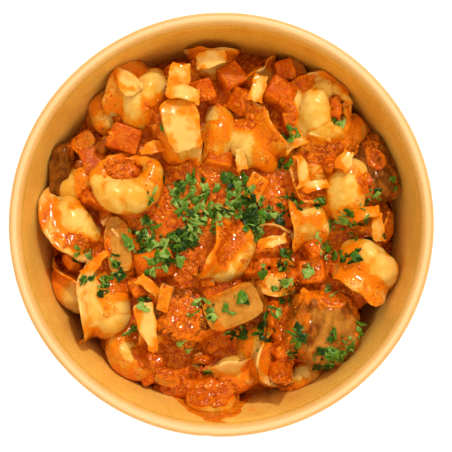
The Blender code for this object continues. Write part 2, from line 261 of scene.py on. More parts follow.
def makeFilmGroup():
    # the thin sauce that clings to a piece: where it lies, its colour and the grain that it adds
    group, given, out = newGroup(
        "sauceFilm", [("Piece", "NodeSocketColor", (0.8, 0.5, 0.1, 1))],
        [("Mask", "NodeSocketFloat"), ("Color", "NodeSocketColor"), ("Height", "NodeSocketFloat")],
    )
    spot = objectSpot(group)
    wet = attribute(group, "coat")
    broken = noiseAt(group, spot, 420.0, 4.0, 0.6, 0.4)
    fine = noiseAt(group, spot, 1500.0, 3.0, 0.6)
    for uneven, share in ((broken, 0.8), (fine, 0.4)):
        wet = calc(group, "ADD", wet, calc(group, "MULTIPLY", calc(group, "SUBTRACT", uneven, 0.5), share))
    mask, full, deep = (between(group, wet, *film[key]) for key in ("thinAt", "fullAt", "thickAt"))
    colour = mixColours(group, mask, given.outputs["Piece"], film["tint"], "MULTIPLY")
    colour = mixColours(group, full, colour, film["full"])
    colour = mixColours(group, deep, colour, film["thick"])
    pulp = pulpAt(group, spot, 800.0)
    height = calc(group, "MULTIPLY", calc(group, "ADD", pulp, calc(group, "MULTIPLY", fine, 0.8)), mask)
    for name, value in (("Mask", mask), ("Color", colour), ("Height", height)):
        group.links.new(value, out.inputs[name])
    return group


filmGroup = makeFilmGroup()


def addFilm(tree, shader, colour, ownRoughness, height, strength=0.5, grain=0.0005):
    # lays the sauce film over a piece's own colour and relief
    sauce = place(tree, "ShaderNodeGroup", node_tree=filmGroup)
    tree.links.new(colour, sauce.inputs["Piece"])
    mask = sauce.outputs["Mask"]
    tree.links.new(sauce.outputs["Color"], shader.inputs["Base Color"])
    tree.links.new(between(tree, mask, 0.0, 1.0, (ownRoughness, film["gloss"])), shader.inputs["Roughness"])
    tree.links.new(between(tree, mask, 0.2, 1.0, film["coat"]), shader.inputs["Coat Weight"])
    bumpOf(tree, shader, calc(tree, "ADD", height, sauce.outputs["Height"]), strength, grain)


pastaTones = {
    "low": (0.66, 0.32, 0.030, 1), "high": (0.74, 0.47, 0.115, 1), "edge": (0.78, 0.45, 0.125, 1),
    "fleck": (0.62, 0.25, 0.05, 1),
}


def makePasta():
    material, tree, shader = newMaterial(
        "pastaDough", Subsurface_Weight=0.1, Subsurface_Scale=0.0015, Coat_Weight=0.15, Coat_Roughness=0.14,
        Specular_IOR_Level=0.45, Specular_Tint=warm,
    )
    spot = objectSpot(tree)
    cloudy = noiseAt(tree, spot, 140.0, 4.0, 0.6)
    belly = blend(tree, cloudy, 0.35, 0.65, pastaTones["low"], pastaTones["high"])
    dough = mixColours(tree, attribute(tree, "edge"), belly, pastaTones["edge"])
    fleck = between(tree, noiseAt(tree, spot, 900.0, 2.0), 0.68, 0.76)
    dough = mixColours(tree, calc(tree, "MULTIPLY", fleck, 0.35), dough, pastaTones["fleck"])
    addFilm(tree, shader, dough, 0.33, calc(tree, "MULTIPLY", cloudy, 0.6))
    return material


def makeFlesh(name, tones, pattern, ownRoughness, strength, grain, **constants):
    # one noise for both the colour and the relief
    material, tree, shader = newMaterial(name, Specular_Tint=warm, **constants)
    streak = noiseAt(tree, objectSpot(tree), *pattern)
    flesh = blend(tree, streak, 0.3, 0.7, *tones)
    addFilm(tree, shader, flesh, ownRoughness, streak, strength, grain)
    return material


def makeCarrot():
    tones = (0.42, 0.058, 0.001, 1), (0.55, 0.125, 0.001, 1)
    return makeFlesh(
        "carrotFlesh", tones, (260.0, 4.0, 0.6, 1.2), 0.25, 0.5, 0.0004,
        Coat_Weight=0.15, Coat_Roughness=0.14, Specular_IOR_Level=0.3,
    )


def makeOnion():
    tones = (0.60, 0.27, 0.06, 1), (0.74, 0.42, 0.14, 1)
    return makeFlesh(
        "onionFlesh", tones, (500.0, 3.0, 0.5, 0.6), 0.22, 0.4, 0.0002,
        Subsurface_Weight=0.15, Subsurface_Scale=0.0015, Coat_Weight=0.2, Coat_Roughness=0.08,
    )


mushroomTones = {
    "skinLow": (0.14, 0.030, 0.002, 1), "skinHigh": (0.37, 0.105, 0.006, 1),
    "cutLow": (0.40, 0.145, 0.013, 1), "cutHigh": (0.56, 0.235, 0.034, 1),
    # fold: a dark colour painted as shade into the skin's creases, and also the own darker skin of sticks and
    # dark pieces
    "fold": (0.075, 0.018, 0.002, 1),
}


def makeMushroom():
    material, tree, shader = newMaterial(
        "mushroomFlesh", Coat_Weight=0.3, Coat_Roughness=0.14, Specular_IOR_Level=0.35, Specular_Tint=warm
    )
    spot = objectSpot(tree)
    blotch = noiseAt(tree, spot, 240.0, 5.0, 0.62, 0.8)
    strands = place(tree, "ShaderNodeMapping", {"Vector": spot, "Scale": (1.6, 0.6, 1)}).outputs[0]
    fibre = noiseAt(tree, strands, 330.0, 4.0)
    tone = scaledSum(tree, (blotch, 0.5), (fibre, 0.5))
    skin = blend(tree, tone, 0.40, 0.60, mushroomTones["skinLow"], mushroomTones["skinHigh"])
    inner = blend(tree, blotch, 0.3, 0.7, mushroomTones["cutLow"], mushroomTones["cutHigh"])
    flesh = mixColours(tree, attribute(tree, "cutFace"), skin, inner)
    # painted shade in the creases, plus the own darker skin of sticks and dark pieces
    flesh = mixColours(tree, attribute(tree, "fold"), flesh, mushroomTones["fold"])
    addFilm(tree, shader, flesh, 0.2, fibre, 0.6, 0.0005)
    return material


sauceTones = {
    "low": (0.36, 0.034, 0.001, 1), "middle": (0.60, 0.090, 0.002, 1), "high": (0.76, 0.175, 0.002, 1),
    # furrow: dark colour painted as shade into the sauce's pits, and laid a little over the smears on pieces
    # as a darker tone
    "thin": (0.71, 0.19, 0.005, 1), "pitShadeAndSmearTone": (0.22, 0.016, 0.001, 1),
}


def makeSauce():
    material, tree, shader = newMaterial(
        "tomatoSauce", Coat_Weight=0.65, Coat_Roughness=0.16, Coat_IOR=1.6, Specular_IOR_Level=0.5,
        Specular_Tint=warm,
    )
    spot = objectSpot(tree)
    swirl = noiseAt(tree, spot, 150.0, 4.0, 0.6, 0.6)
    fine = noiseAt(tree, spot, 480.0, 3.0, 0.5, 0.3)
    pulp = pulpAt(tree, spot, 560.0)
    low = blend(tree, swirl, 0.36, 0.62, sauceTones["low"], sauceTones["middle"])
    high = blend(tree, fine, 0.38, 0.74, low, sauceTones["high"])
    thin = mixColours(tree, attribute(tree, "thin"), high, sauceTones["thin"])
    # painted shade in the pits, and a darker tone over the smears
    deep = mixColours(tree, attribute(tree, "pitShadeAndSmearTone"), thin, sauceTones["pitShadeAndSmearTone"])
    tree.links.new(deep, shader.inputs["Base Color"])
    tree.links.new(between(tree, fine, 0.3, 0.7, (0.05, 0.12)), shader.inputs["Roughness"])
    relief = calc(tree, "ADD", pulp, calc(tree, "MULTIPLY", fine, 0.8))
    bumpOf(tree, shader, relief, 0.4, 0.0004)
    return material


parsleyTones = {
    # the dark and pale tones also stand in for painted shade and painted light on the leaves
    "dark": (0.008, 0.032, 0.002, 1), "middle": (0.080, 0.19, 0.006, 1), "pale": (0.27, 0.39, 0.065, 1),
}


def makeParsley():
    material, tree, shader = newMaterial("parsleyLeaf", Specular_IOR_Level=0.35)
    spot = objectSpot(tree)
    tone = attribute(tree, "tone")
    mottle = noiseAt(tree, spot, 1400.0, 3.0)
    shade = calc(tree, "ADD", tone, calc(tree, "MULTIPLY", calc(tree, "SUBTRACT", mottle, 0.5), 0.5))
    leaf = blend(tree, shade, 0.0, 0.45, parsleyTones["dark"], parsleyTones["middle"])
    leaf = blend(tree, shade, 0.5, 1.0, leaf, parsleyTones["pale"])
    tree.links.new(leaf, shader.inputs["Base Color"])
    tree.links.new(between(tree, mottle, 0.3, 0.7, (0.28, 0.5)), shader.inputs["Roughness"])
    bumpOf(tree, shader, mottle, 0.4, 0.0002)
    return material


def makePaperGroup():
    # board made of short fibres: a value for its mottling and one for its relief
    outputs = [(name, "NodeSocketFloat") for name in ("Mottle", "Relief")]
    group, _, out = newGroup("paperFibres", [], outputs)
    spot = objectSpot(group)
    cloud = noiseAt(group, spot, 90.0, 4.0, 0.6)
    grain = noiseAt(group, spot, 1300.0, 3.0, 0.7)
    strands = place(group, "ShaderNodeMapping", {"Vector": spot, "Scale": (1.0, 1.0, 3.0)}).outputs[0]
    fibre = noiseAt(group, strands, 650.0, 4.0, 0.65, 1.5)
    mottle = scaledSum(group, (cloud, 0.22), (fibre, 0.30), (grain, 0.48))
    group.links.new(mottle, out.inputs["Mottle"])
    group.links.new(calc(group, "ADD", fibre, grain), out.inputs["Relief"])
    return group


paperGroup = makePaperGroup()
marksAndWallShade = {
    # painted shade with orange bounce light on the wall's upper side, which faces away from the sun: its
    # tint, then way round its middle, and how far from the middle it starts and stops fading
    "paintedWallShadeTint": (0.90, 0.76, 0.42, 1), "paintedWallShadeAt": 68.0, "paintedWallShadeFrom": 10.0, "paintedWallShadeTo": 75.0,
    # thin marks that the sauce left on the inside of the wall: way round, height, half width, half height
    "marks": [
        (-176.4, 40.5, 3.4, 6.5), (-164.1, 34.5, 3.6, 5.5), (136.6, 45.5, 1.5, 1.6),
        (132.4, 36, 1.5, 1.8), (-143, 30, 4.5, 5), (-12, 42.5, 3.2, 4.5), (-46.7, 56, 1.1, 1.5),
        (-80.5, 44, 2.2, 5), (-118, 32, 7, 5), (97, 38, 9, 3), (-70, 40, 2.6, 3), (60, 38, 7, 3),
    ],
}
boardTones = {
    "low": (0.80, 0.395, 0.050, 1), "high": (0.96, 0.54, 0.104, 1), "mark": (0.86, 0.24, 0.012, 1),
    # turned is painted shade under the rim, rim is the rim's own colour, crown is a painted highlight along
    # its top
    "turned": (0.36, 0.15, 0.02, 1), "rim": (0.60, 0.32, 0.12, 1), "crownHighlight": (0.76, 0.52, 0.27, 1),
    # metres up the wall where the painted shade under the rim, the rim's own colour and the painted highlight
    # on its top start and end
    "turnedAt": (0.0568, 0.0576, 0.0582, 0.0588), "rimAt": (0.0584, 0.0590), "crownHighlightAt": (0.05975, 0.05996),
}


def makeKraft():
    material, tree, shader = newMaterial("kraftBoard", Coat_Weight=0.18, Coat_Roughness=0.35)
    spot = objectSpot(tree)
    paper = place(tree, "ShaderNodeGroup", node_tree=paperGroup)
    mottle, relief = paper.outputs["Mottle"], paper.outputs["Relief"]
    board = blend(tree, mottle, 0.43, 0.57, boardTones["low"], boardTones["high"])
    # painted shade with orange bounce light on the upper wall, multiplied into the board
    board = mixColours(tree, attribute(tree, "paintedWallShade"), board, marksAndWallShade["paintedWallShadeTint"], "MULTIPLY")
    mask = None
    for turn, z, wide, tall in marksAndWallShade["marks"]:
        way = math.radians(turn)
        middle = (innerRadius(z) * math.cos(way) * mm, innerRadius(z) * math.sin(way) * mm, z * mm)
        oval = {"Vector": spot, "Location": middle, "Rotation": (0, 0, way)}
        oval["Scale"] = (wide * mm, wide * mm, tall * mm)
        fromMiddle = place(tree, "ShaderNodeMapping", oval, vector_type="TEXTURE").outputs[0]
        away = place(tree, "ShaderNodeVectorMath", {0: fromMiddle}, operation="LENGTH").outputs["Value"]
        one = between(tree, away, 0.3, 1.15, (1.0, 0.0))
        mask = calc(tree, "MAXIMUM", mask, one) if mask else one
    patchy = between(tree, noiseAt(tree, spot, 260.0, 4.0, 0.6), 0.40, 0.62)
    mask = calc(tree, "MULTIPLY", calc(tree, "MULTIPLY", mask, attribute(tree, "within")), patchy)
    colour = mixColours(tree, calc(tree, "MULTIPLY", mask, 0.75), board, boardTones["mark"])
    height = place(tree, "ShaderNodeSeparateXYZ", {"Vector": spot}).outputs["Z"]
    # a band of painted shade just under the rolled rim
    start, full, fade, end = boardTones["turnedAt"]
    turned = between(tree, height, fade, end, (0.36, 0.0))
    turned = calc(tree, "MULTIPLY", between(tree, height, start, full), turned)
    colour = mixColours(tree, turned, colour, boardTones["turned"])
    rim = calc(tree, "MULTIPLY", between(tree, height, *boardTones["rimAt"]), 0.7)
    colour = mixColours(tree, rim, colour, boardTones["rim"])
    # a painted highlight along the top of the rolled rim
    crownHighlight = calc(tree, "MULTIPLY", between(tree, height, *boardTones["crownHighlightAt"]), 0.8)
    colour = mixColours(tree, crownHighlight, colour, boardTones["crownHighlight"])
    tree.links.new(colour, shader.inputs["Base Color"])
    tree.links.new(between(tree, mottle, 0.3, 0.7, (0.36, 0.5)), shader.inputs["Roughness"])
    bumpOf(tree, shader, relief, 0.5, 0.0003)
    return material


finishes = {
    "kraft": makeKraft(), "pasta": makePasta(), "sauce": makeSauce(), "carrot": makeCarrot(),
    "mushroom": makeMushroom(), "onion": makeOnion(), "parsley": makeParsley(),
}
print("materials made:", ", ".join(finishes))

view = {
    "eye": (1.65, -0.46, 400.0), "sees": 79.3, "across": 340.0,  # half the width in view, and how far off
    "sunTurn": 70.0, "sunHeight": 42.0, "sunPower": 1.95, "sunSpread": 2.5, "sunTint": (1.0, 0.97, 0.92),
    "skyPower": 0.55, "skyGloss": 0.08, "backdrop": 1.0, "skyTint": (1.0, 0.91, 0.72, 1),
    # two wide lamps: their sizes and places are metres
    "topPower": 7.7, "topSize": 1.8, "topAt": (0.0, 0.0, 0.6), "topTint": (1.0, 0.91, 0.72),
    "fillPower": 2.8, "fillSize": 0.7, "fillAt": (0.05, -0.85, 0.50), "fillTint": (1.0, 0.82, 0.50),
    "floorHalf": 1.2, "floorGlow": 0.74,
}


def setView():
    scene = bpy.context.scene
    camera = bpy.data.objects.new("camera", bpy.data.cameras.new("camera"))
    camera.data.angle = 2 * math.atan(view["sees"] / view["across"])
    camera.location = Vector(view["eye"]) * mm
    camera.data.clip_start = 0.01
    scene.collection.objects.link(camera)
    scene.camera = camera
    lamp = bpy.data.lights.new("keyLight", "SUN")
    lamp.energy = view["sunPower"]
    lamp.angle = math.radians(view["sunSpread"])
    lamp.color = view["sunTint"]
    sun = bpy.data.objects.new("keyLight", lamp)
    turn, height = math.radians(view["sunTurn"]), math.radians(view["sunHeight"])
    towards = Vector((math.cos(turn) * math.cos(height), math.sin(turn) * math.cos(height), math.sin(height)))
    sun.rotation_euler = towards.to_track_quat("Z", "Y").to_euler()
    scene.collection.objects.link(sun)
    world = bpy.data.worlds.new("softRoom")
    world.use_nodes = True
    tree = world.node_tree
    sky = tree.nodes["Background"]
    path = place(tree, "ShaderNodeLightPath").outputs
    power = between(tree, path["Is Glossy Ray"], 0.0, 1.0, (view["skyPower"], view["skyGloss"]))
    seen = path["Is Camera Ray"]
    power = calc(tree, "MAXIMUM", power, between(tree, seen, 0.0, 1.0, (0.0, view["backdrop"])))
    tree.links.new(power, sky.inputs["Strength"])
    tree.links.new(mixColours(tree, seen, view["skyTint"], (1, 1, 1, 1)), sky.inputs["Color"])
    for name in ("top", "fill"):
        lamp = bpy.data.lights.new(name + "Light", "AREA")
        lamp.energy, lamp.size, lamp.color = (view[name + key] for key in ("Power", "Size", "Tint"))
        panel = bpy.data.objects.new(name + "Light", lamp)
        panel.location = view[name + "At"]
        panel.rotation_euler = Vector(view[name + "At"]).to_track_quat("Z", "Y").to_euler()
        panel.visible_glossy = panel.visible_camera = False
        scene.collection.objects.link(panel)
    scene.world = world
    scene.view_settings.view_transform = "Standard"


def layFloor():
    material, tree, shader = newMaterial("paleTable", Roughness=0.9, Emission_Strength=view["floorGlow"])
    tone = noiseAt(tree, objectSpot(tree), 3.0, 2.0)
    colour = mixColours(tree, tone, (0.52, 0.52, 0.52, 1), (0.55, 0.55, 0.55, 1))
    glow = mixColours(tree, tone, (0.93, 0.93, 0.93, 1), (0.96, 0.96, 0.96, 1))
    tree.links.new(colour, shader.inputs["Base Color"])
    tree.links.new(glow, shader.inputs["Emission Color"])
    work = bmesh.new()
    bmesh.ops.create_grid(work, x_segments=4, y_segments=4, size=view["floorHalf"])
    makeObject("floor", work, material, smooth=False)


setView()
layFloor()
print("camera, light and floor set")


def wallProfile():
    # the cut through the wall, from the inside of the foot up to the rolled rim and down again outside
    middle = bowl["rim"] - bowl["bead"] / 2
    high = bowl["height"] - bowl["beadHeight"] / 2
    half, tall = bowl["bead"] / 2, bowl["beadHeight"] / 2
    cut = [(innerRadius(z), z) for z in np.linspace(bowl["hemHeight"] + 0.4, high - 0.3, 26)]
    for angle in range(165, -126, -10):
        a = math.radians(angle)
        squash = 1 - 0.10 * math.cos(2 * a)
        cut.append((middle + half * math.cos(a) * min(1, squash + 0.08), high + tall * math.sin(a)))
    cut += [(outerRadius(z), z) for z in np.linspace(high - tall + 0.5, 0.35, 24)]
    cut += [(bowl["foot"] - 0.3, 0.0), (bowl["foot"] - bowl["hem"] + 0.35, 0.0)]
    cut += [(outerRadius(z) - bowl["hem"], z) for z in (0.4, 1.6, 3.0, bowl["hemHeight"] - 0.3)]
    cut += [(outerRadius(bowl["hemHeight"]) - bowl["hem"] + 0.3, bowl["hemHeight"])]
    cut += [(innerRadius(bowl["hemHeight"]) - 0.15, bowl["hemHeight"] + 0.05)]
    return cut


def spinProfile(work, cut, closed):
    verts = [work.verts.new((r * mm, 0, z * mm)) for r, z in cut]
    edges = [work.edges.new(pair) for pair in zip(verts, verts[1:])]
    if closed:
        edges.append(work.edges.new((verts[-1], verts[0])))
    bmesh.ops.spin(
        work, geom=verts + edges, cent=(0, 0, 0), axis=(0, 0, 1), angle=math.tau, steps=bowl["steps"],
        use_merge=True,
    )
    bmesh.ops.remove_doubles(work, verts=work.verts, dist=0.01 * mm)
    faceOut(work)


def makeBowl():
    work = bmesh.new()
    within = work.verts.layers.float.new("within")
    paintedWallShade = work.verts.layers.float.new("paintedWallShade")
    spinProfile(work, wallProfile(), closed=True)
    step = 360 / bowl["steps"]
    high = bowl["height"] - bowl["beadHeight"]
    for vert in work.verts:
        x, y, z = vert.co / mm
        far, turn = math.hypot(x, y), math.degrees(math.atan2(y, x))
        inside = far < outerRadius(z) - bowl["paper"] / 2 and bowl["hemHeight"] < z < high
        for edge, side in ((bowl["seamTo"], -1), (bowl["seamFrom"], 1)):
            if abs(turn - (edge + side * step)) < step / 4:  # bring the next column close to the paper's edge
                turn = edge + side * 0.12
        vert[within] = inside
        # painted shade on the upper wall: whole near its middle, fading out towards its ends
        vert[paintedWallShade] = inside * (1 - ramp(marksAndWallShade["paintedWallShadeFrom"], marksAndWallShade["paintedWallShadeTo"], abs(turn - marksAndWallShade["paintedWallShadeAt"])))
        lapped = bowl["seamFrom"] - 0.01 <= turn < bowl["seamTo"] - 0.01
        nick = math.exp(-(((turn - bowl["seamFrom"]) / 0.9) ** 2)) * (0.2 if z > high else 0)
        if lapped and inside:
            far -= lapAt(turn)
        elif lapped and z < high and far > outerRadius(z) - 0.1:
            far += bowl["overlap"] * ramp(bowl["seamTo"], bowl["seamTo"] - bowl["softEnd"], turn)
        swell = 0.16 * math.sin(math.radians(2 * turn + 40)) * z / bowl["height"]
        way = Vector((math.cos(math.radians(turn)), math.sin(math.radians(turn)), z / 30))
        wave = 0.10 * noise.noise(way * 3)
        far += (swell + wave) * (0.2 + 0.8 * z / bowl["height"]) - nick
        vert.co = Vector((far * math.cos(math.radians(turn)), far * math.sin(math.radians(turn)), z)) * mm
    for vert in work.verts:
        far = vert.co.xy.length
        if far > bowl["rim"] * mm:
            vert.co.xy = vert.co.xy * (bowl["rim"] * mm / far)
    standIn(makeObject("bowlWall", work, finishes["kraft"]), "kraft", "bowl_wall")

    work = bmesh.new()
    reach = innerRadius(bowl["floor"]) - 0.1
    cut = []
    for top, start, end in ((bowl["floor"], 0, reach), (bowl["floor"] - bowl["paper"], reach, 0)):
        cut += [(r, top - bowl["dish"] * math.cos(r / reach * 1.57)) for r in np.linspace(start, end, 16)]
    spinProfile(work, cut, closed=False)
    standIn(makeObject("bowlFloor", work, finishes["kraft"]), "kraft", "bowl_base")


makeBowl()
print("bowl made")

# one ring of filled dough, before it is sized and turned
dough = {
    "ringX": 8.0, "ringY": 6.8, "belly": 7.2, "joint": 2.4, "bellyShape": 1.5, "finPeak": 7.5, "finEnd": 1.8,
    "finShape": 0.7, "finHalf": 0.72, "fillet": 0.16, "overlap": 0.34, "bellyShare": 0.62,
    "along": 108, "across": 48,
    "back": 0.75, "sag": 0.9, "sagSize": 6.5, "wrinkle": 0.17, "wrinkleSize": 2.2, "crease": 0.06,
    "leanUneven": 16.0, "finUneven": 0.25, "curl": 24.0,
    # the ends: where they start, how much thinner the belly and how much lower the pressed edge gets
    "tipFrom": 0.84, "tipBelly": 0.72, "tipFin": 0.5,
    # the joint: where the ends are squeezed together, and how far each stands off to its side and up or down
    "pinchFrom": 2.2, "pinchTo": 3.1, "squeeze": 0.42, "pinchOut": 1.25, "pinchUp": 0.5,
    "foldWide": 0.14, "grooveWide": 0.13, "edgeRound": 0.86, "filletTo": 0.35,
}
# x, y, height of the top, turn, lift, roll, size, lean of the pressed edge from outward, width of the ring
tortellini = {
    "01": (-39.5, 42.5, 41, -90, 15, 180, 0.76, 60),
    "02": (1, -22, 41, 0, 20, 180, 0.85, 60),
    "03": (-4, -62.5, 47.5, 0, 25, 180, 0.76, 60),
    "04": (28.5, -54.5, 40, 40, 40, 180, 0.8, 60),
    "05": (-50.5, 11.5, 43, -160, 35, 180, 0.88, 60),
    "06": (-3.5, 61, 45, 0, 70, 0, 0.74, 50),
    "07": (12.5, 55.5, 45, 30, 60, 0, 0.74, 50),
    "08": (45, 34.5, 43, 60, 30, 180, 0.72, 60),
    "09": (55, 0.5, 44, 70, 30, 0, 0.82, 50),
    "10": (-30.5, -45, 43, -40, 8, 180, 1, 60),
    "11": (20.5, -4.5, 45, 165, 45, 0, 0.82, 45),
    "12": (-5, 34, 47, 75, 55, 180, 0.95, 60),
    "13": (-29, 47, 51, 62, 84, 0, 1.02, 70),
    "14": (-51.5, 3, 48.5, -55, 52, 0, 0.94, -12),
    "15": (-55, -23, 46, -30, 60, 0, 0.92, 55),
    "16": (3.5, -53.5, 49, 20, 60, 0, 1.05, 60),
    "17": (20.5, -16.5, 46, -15, -5, 0, 0.66, 55),
    "18": (33, 0.5, 49, 95, 75, 0, 0.88, 60),
    "19": (38.5, 22, 46, -50, -12, 0, 0.82, 50),
    "20": (54, -15.5, 52, 149, 78, 0, 1.04, 66),
    "21": (41, 42, 51, -80, 8, 180, 0.82, 12, 1.2),
    "22": (21, -46.5, 50.5, -82, 26, 0, 0.98, 66, 1.35),
    "23": (-43.5, -29.5, 53, 86, 72, 0, 1.1, 55),
    "24": (-25.5, -37.5, 48, 80, 70, 0, 0.62, 60),
    "25": (-35, 18.5, 52, 6, 8, 180, 0.94, 60, 1.3),
    "26": (13, 31, 51, -48, 68, 0, 1.08, 60),
    "27": (51, 11.5, 51, -100, 45, 180, 1.06, 60),
    "28": (-15.5, 35, 53, -82, 66, 0, 1.14, 60),
    "29": (0.5, -8.5, 53, 66, 56, 0, 1.14, 55),
    "30": (-15.5, 53, 46, 160, 50, 0, 0.68, 55),
}
food = []  # every piece of food, for the sauce and the herbs to lie on


def doughPoint(u, v, lean, seed, wide):
    # u runs along the ring and v round its section, each -1 to 1; v = -1 and 1 meet at the pressed edge
    turn = u * (math.pi + dough["overlap"])
    fill = math.cos(min(abs(turn), math.pi) / 2) ** 2
    tip = ramp(dough["tipFrom"], 1.0, abs(u))
    belly = dough["joint"] + (dough["belly"] - dough["joint"]) * fill ** dough["bellyShape"]
    belly *= 1 - dough["tipBelly"] * tip
    fin = dough["finEnd"] + (dough["finPeak"] - dough["finEnd"]) * fill ** dough["finShape"]
    finUneven = 1 + dough["finUneven"] * noise.noise(Vector((turn * 1.3, seed, 0)))
    fin *= finUneven * (1 - dough["tipFin"] * tip)
    lean = math.radians(lean + dough["leanUneven"] * noise.noise(Vector((turn * 1.1, seed, 7))))
    curl = math.radians(dough["curl"] * noise.noise(Vector((turn * 0.8, seed, 19))))
    half = min(dough["finHalf"], belly * 0.5)
    fillet = dough["fillet"] * belly
    base = math.asin(min(0.9, (half + fillet) / belly))
    side = -1 if v > 0 else 1
    fold = 1 - ramp(0.0, dough["foldWide"], abs(noise.noise(Vector((turn * 0.8, 1.1 * v, seed + 31)))))
    groove = max(fold, 1 - min(1.0, abs(abs(v) - dough["bellyShare"] - 0.02) / dough["grooveWide"]))
    k = max(0.0, (abs(v) - dough["bellyShare"]) / (1 - dough["bellyShare"]))
    if k == 0:  # on the filled belly
        angle = lean + math.pi + v / dough["bellyShare"] * (math.pi - base)
        belly *= 1 - dough["crease"] * fold * (1 - (v / dough["bellyShare"]) ** 4)
        out, up = belly * math.cos(angle), belly * math.sin(angle)
    else:  # on the pressed edge, which ends round
        end = max(0.0, (k - dough["edgeRound"]) / (1 - dough["edgeRound"]))
        thick = half * (1 - 0.2 * k) * math.sqrt(max(0.0, 1 - end ** 2))
        thick += fillet * max(0.0, 1 - k / dough["filletTo"]) ** 2
        bent = lean + curl * k
        start, reach = belly * math.cos(base), fin * k
        out = start * math.cos(lean) + reach * math.cos(bent) - side * thick * math.sin(bent)
        up = start * math.sin(lean) + reach * math.sin(bent) + side * thick * math.cos(bent)
    pinch = ramp(dough["pinchFrom"], dough["pinchTo"], abs(turn))
    out = out * (1 - dough["squeeze"] * pinch) + math.copysign(dough["pinchOut"], u) * pinch
    up = up * (1 + 0.12 * pinch) + math.copysign(dough["pinchUp"], u) * pinch
    out += dough["wrinkle"] * (1 - fill) * 2.5 * math.sin(9 * v + 3 * math.sin(5 * turn + seed))  # pleats
    back = dough["back"] if math.cos(turn) < 0 else 1.0
    spot = Vector((dough["ringX"] * math.sin(turn), -dough["ringY"] * back * math.cos(turn), 0)) * wide
    spot += Vector((math.sin(turn), -math.cos(turn), 0)) * out + Vector((0, 0, up))
    shift = Vector((seed * 3.1, seed * 1.7, seed))
    for effect in ("sag", "wrinkle"):
        spot += noise.noise_vector(spot / dough[effect + "Size"] + shift) * dough[effect]
    return spot, k, groove


def keepInBowl(mesh):
    # what touches the wall lies flat against it
    spots = points(mesh)
    limit = (innerRadius(spots[:, 2] / mm) - bowl["clear"]) * mm
    far = np.hypot(spots[:, 0], spots[:, 1])
    spots[:, :2] *= np.minimum(1, limit / np.maximum(far, 1e-6))[:, None]
    spots[:, 2] = np.maximum(spots[:, 2], (bowl["floor"] + 0.4) * mm)
    setPoints(mesh, spots)


def settle(work, x, y, top, turn, tip, roll):
    # turns the shape, and puts its middle at x, y and its highest point at top
    bmesh.ops.transform(work, matrix=turnedBy(turn, tip, roll).to_4x4(), verts=work.verts)
    high = max(vert.co.z for vert in work.verts)
    bmesh.ops.translate(work, vec=(x * mm, y * mm, top * mm - high), verts=work.verts)


def addFood(piece, slot, node):
    keepInBowl(piece.data)
    standIn(piece, slot, node)
    food.append(piece)


def makeTortellino(name, x, y, top, turn, lift, roll, size, lean, wide=1.0):
    work = bmesh.new()
    edge = work.verts.layers.float.new("edge")
    groove = work.verts.layers.float.new("groove")
    bmesh.ops.create_grid(work, x_segments=dough["along"], y_segments=dough["across"], size=1)
    seed = int(name) * 1.37
    for vert in work.verts:
        spot, onFin, vert[groove] = doughPoint(vert.co.x, vert.co.y, lean, seed, wide)
        vert[edge] = ramp(0.1, 0.8, onFin)
        vert.co = spot * size * mm
    bmesh.ops.remove_doubles(work, verts=work.verts, dist=0.004 * mm)
    bmesh.ops.holes_fill(work, edges=[e for e in work.edges if e.is_boundary])
    faceOut(work)
    settle(work, x, y, top, turn, lift, roll)
    addFood(makeObject("tortellino" + name, work, finishes["pasta"]), "pasta", "tortellino_" + name)


for name, numbers in tortellini.items():
    makeTortellino(name, *numbers)
print("tortellini made:", len(tortellini))


# carrot: x, y, height of the top, length, width, height, turn, tip
carrots = {
    "01": (-48, 24, 42, 10, 11.5, 9, 20, 15),
    "02": (-36.5, 31.5, 47, 11.5, 9.5, 10, -18, 10),
    "03": (-6.5, 49.5, 48, 8, 8.5, 8, 18, -8),
    "04": (3.5, 54.5, 46, 9, 9, 8, 30, 12),
    "05": (7.5, 46, 46, 7.5, 9, 8, -25, -20),
    "06": (21, 48.5, 49, 10.5, 9.5, 9, -28, 14),
    "07": (23.5, 57, 43, 7, 8, 7.5, 15, 8),
    "08": (32.5, -17.5, 47, 9.5, 9, 8.5, 8, 10),
    "09": (34, -9, 50, 5.5, 6, 5.5, 35, 18),
    "10": (-24.5, -14, 46, 13.5, 10, 8, 12, -14),
    "11": (-31, -23.5, 45, 6, 7, 6, 24, 10),
    "12": (-27.5, -57, 39, 7, 6, 6, 30, 12),
    "13": (50, -25, 41, 12, 11, 8, 42, -12),
    "14": (-1.5, 24.5, 45, 9.5, 6, 7, -10, 16),
}
# bits of onion: the same numbers
onions = {
    "01": (-20.5, -26.5, 51, 10, 4.6, 3.4, 78, 8),
    "02": (12.5, 14, 46, 9.5, 7, 4, 62, -10),
}
cubes = {"edge": 1.0, "onionEdge": 0.8, "skew": 0.10, "rough": 0.14}


def cutCube(name, length, width, height, edge, detail=3):
    chance = random.Random(name)
    work = bmesh.new()
    bmesh.ops.create_cube(work, size=1)
    for vert in work.verts:  # knife cuts are seldom square
        skew = [1 + chance.uniform(-cubes["skew"], cubes["skew"]) for _ in range(3)]
        vert.co = Vector([c * side * s * mm for c, side, s in zip(vert.co, (length, width, height), skew)])
    bmesh.ops.bevel(
        work, geom=work.edges[:], offset=edge * mm, segments=2, profile=0.5, affect="EDGES", material=-1
    )
    bmesh.ops.subdivide_edges(work, edges=work.edges, cuts=detail, use_grid_fill=True)
    shift = Vector((chance.uniform(0, 50), chance.uniform(0, 50), 0))
    for vert in work.verts:
        spot = vert.co / mm
        vert.co += vert.co.normalized() * mm * cubes["rough"] * 2.2 * noise.noise(spot / 4 + shift)
        vert.co += noise.noise_vector(spot / 1.4 + shift) * mm * cubes["rough"]
    faceOut(work)
    return work


